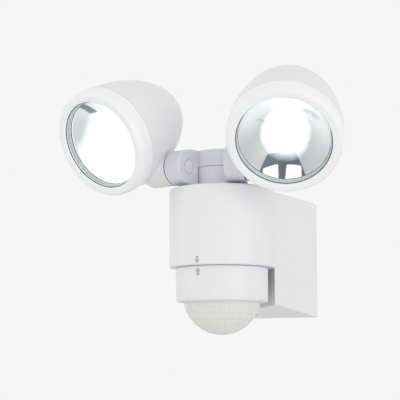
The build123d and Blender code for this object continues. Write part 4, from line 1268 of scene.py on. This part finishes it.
class SECURITY_OT_marks(bpy.types.Operator):
    """Alignment arrows on housing and ring, and ticks round the setting knobs"""

    bl_idname = "security.marks"
    bl_label = "Marks"

    def execute(self, context):
        sizes = housing_sizes()
        for name, body, radius, across, height, down in (
            ("housing_arrow", "housing", sizes.front_radius, -0.001, -0.0094, True),
            ("sensor_arrow", "sensor", sizes.sensor_radius, -0.0029, -0.0177, False),
        ):
            arrow = wrapped_mark(arrow_outline(down), radius, across, height)
            finished(name, arrow, upright(), body, "mark")
        recipe = tick_recipe()
        values = {
            "Radius": 0.0052,
            "Count": 7,
            "Tick length": 0.0012,
            "Tick width": 0.0004,
            "Relief": 0.0004,
            "Material": finish_for("mark"),
        }
        slope = (sizes.wall_bottom - sizes.recess_bottom) / UNDERSIDE_RUN
        ticks = bmesh.new()
        for node in ("time_knob", "lux_knob"):
            low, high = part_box(node)
            middle = (low + high) / 2
            spot = Matrix.Translation((middle.x, middle.y, -sizes.wall_bottom - slope * middle.y))
            dial = recipe.made(values)
            dial.transform(spot @ Matrix.Rotation(-math.atan(slope), 4, "X"))
            add_shape(ticks, dial)
        finished("knob_ticks", ticks, Matrix.Identity(4), "housing", "mark")
        return {"FINISHED"}


# ------------------------------------------------------------------ stage
FLOOR_LEVEL = -0.9
LAMPS = (
    ("left", (-1.5, -0.9, 0.3), 1.3, 3.8, (1.0, 1.0, 0.99)),
    ("right", (1.5, -0.9, 0.0), 1.3, 6.0, (0.98, 0.99, 1.0)),
    ("front", (0.2, -1.6, -0.3), 1.2, 1.6, (1.0, 1.0, 1.0)),
)
LIT_POINT = (0, -0.1, 0.03)
CAMERA_PLACE = (0.4225, -0.9899, -0.0869)
CAMERA_LENS = 115.6
CAMERA_TURN, CAMERA_LIFT = math.radians(26.68), math.radians(7.37)


class SECURITY_OT_stage(bpy.types.Operator):
    """Pale floor, soft studio light and the camera"""

    bl_idname = "security.stage"
    bl_label = "Stage"

    def execute(self, context):
        scene = context.scene
        scene.view_settings.view_transform = "Standard"
        plane = bmesh.new()
        bmesh.ops.create_grid(plane, x_segments=8, y_segments=8, size=6.0)
        floor = linked("floor", meshed("floor", plane))
        floor.location = (0, 0, FLOOR_LEVEL)
        finish = Finish("pale_floor")
        tone = finish.mix(finish.noise(3.0), (0.78, 0.78, 0.78, 1), (0.80, 0.80, 0.80, 1))
        floor.data.materials.append(finish.principled({"Base Color": tone, "Roughness": 0.8}))
        self.world(scene)
        for name, place, size, power, tone in LAMPS:
            lamp = bpy.data.lights.new(name, "AREA")
            lamp.shape = "SQUARE"
            lamp.size = size
            lamp.energy = power
            lamp.color = tone
            self.aim(linked(name, lamp), place, Vector(LIT_POINT) - Vector(place))
        view = bpy.data.cameras.new("camera")
        view.lens = CAMERA_LENS
        view.sensor_width = 36.0
        view.clip_start = 0.05
        level = math.cos(CAMERA_LIFT)
        ahead = Vector((-math.sin(CAMERA_TURN) * level, math.cos(CAMERA_TURN) * level, math.sin(CAMERA_LIFT)))
        scene.camera = linked("camera", view)
        self.aim(scene.camera, CAMERA_PLACE, ahead)
        return {"FINISHED"}

    @staticmethod
    def aim(thing, place, ahead):
        """Puts a lamp or the camera in its place and turns it."""
        thing.location = place
        thing.rotation_euler = ahead.to_track_quat("-Z", "Y").to_euler()

    @staticmethod
    def world(scene):
        """Pale backdrop for the camera, gloss and glass, and a plain soft light for the rest."""
        world = bpy.data.worlds.new("studio")
        world.use_nodes = True
        world.node_tree.nodes.clear()
        sheet = Sheet(world.node_tree)
        level = detail().backdrop
        seen = sheet.node("ShaderNodeBackground", {"Color": (level, level, level, 1), "Strength": 1.0})
        light = sheet.node("ShaderNodeBackground", {"Color": (1, 1, 1, 1), "Strength": detail().world_light})
        path = sheet.node("ShaderNodeLightPath").socket.node
        camera, glossy, through = (
            Value(sheet, path.outputs["Is " + name + " Ray"]) for name in ("Camera", "Glossy", "Transmission")
        )
        choice = camera.at_least(glossy).at_least(through)
        both = sheet.node("ShaderNodeMixShader", [choice, light, seen])
        sheet.node("ShaderNodeOutputWorld", {"Surface": both})
        scene.world = world


class SECURITY_PT_panel(bpy.types.Panel):
    """Lists the light's pieces"""

    bl_idname = "SECURITY_PT_panel"
    bl_label = "Security light"
    bl_space_type = "VIEW_3D"
    bl_region_type = "UI"
    bl_category = "Security light"

    def draw(self, context):
        for operator in OPERATORS:
            self.layout.operator(operator.bl_idname)


GROUPS = (HousingSizes, LampSizes, Colours, Detail)
OPERATORS = (
    SECURITY_OT_stage,
    SECURITY_OT_housing,
    SECURITY_OT_sensor,
    SECURITY_OT_lens,
    SECURITY_OT_arms,
    SECURITY_OT_shells,
    SECURITY_OT_bezels,
    SECURITY_OT_optics,
    SECURITY_OT_wall,
    SECURITY_OT_marks,
)


def register():
    for group in GROUPS + OPERATORS + (SECURITY_PT_panel,):
        bpy.utils.register_class(group)
    bpy.types.Scene.security_housing = PointerProperty(type=HousingSizes)
    bpy.types.Scene.security_lamp = PointerProperty(type=LampSizes)
    bpy.types.Scene.security_colours = PointerProperty(type=Colours)
    bpy.types.Scene.security_detail = PointerProperty(type=Detail)


def unregister():
    del bpy.types.Scene.security_detail
    del bpy.types.Scene.security_colours
    del bpy.types.Scene.security_lamp
    del bpy.types.Scene.security_housing
    for group in reversed(GROUPS + OPERATORS + (SECURITY_PT_panel,)):
        bpy.utils.unregister_class(group)


def main():
    """Builds everything."""
    register()
    for operator in OPERATORS:
        family, name = operator.bl_idname.split(".")
        getattr(getattr(bpy.ops, family), name)()


if __name__ == "__main__":
    main()
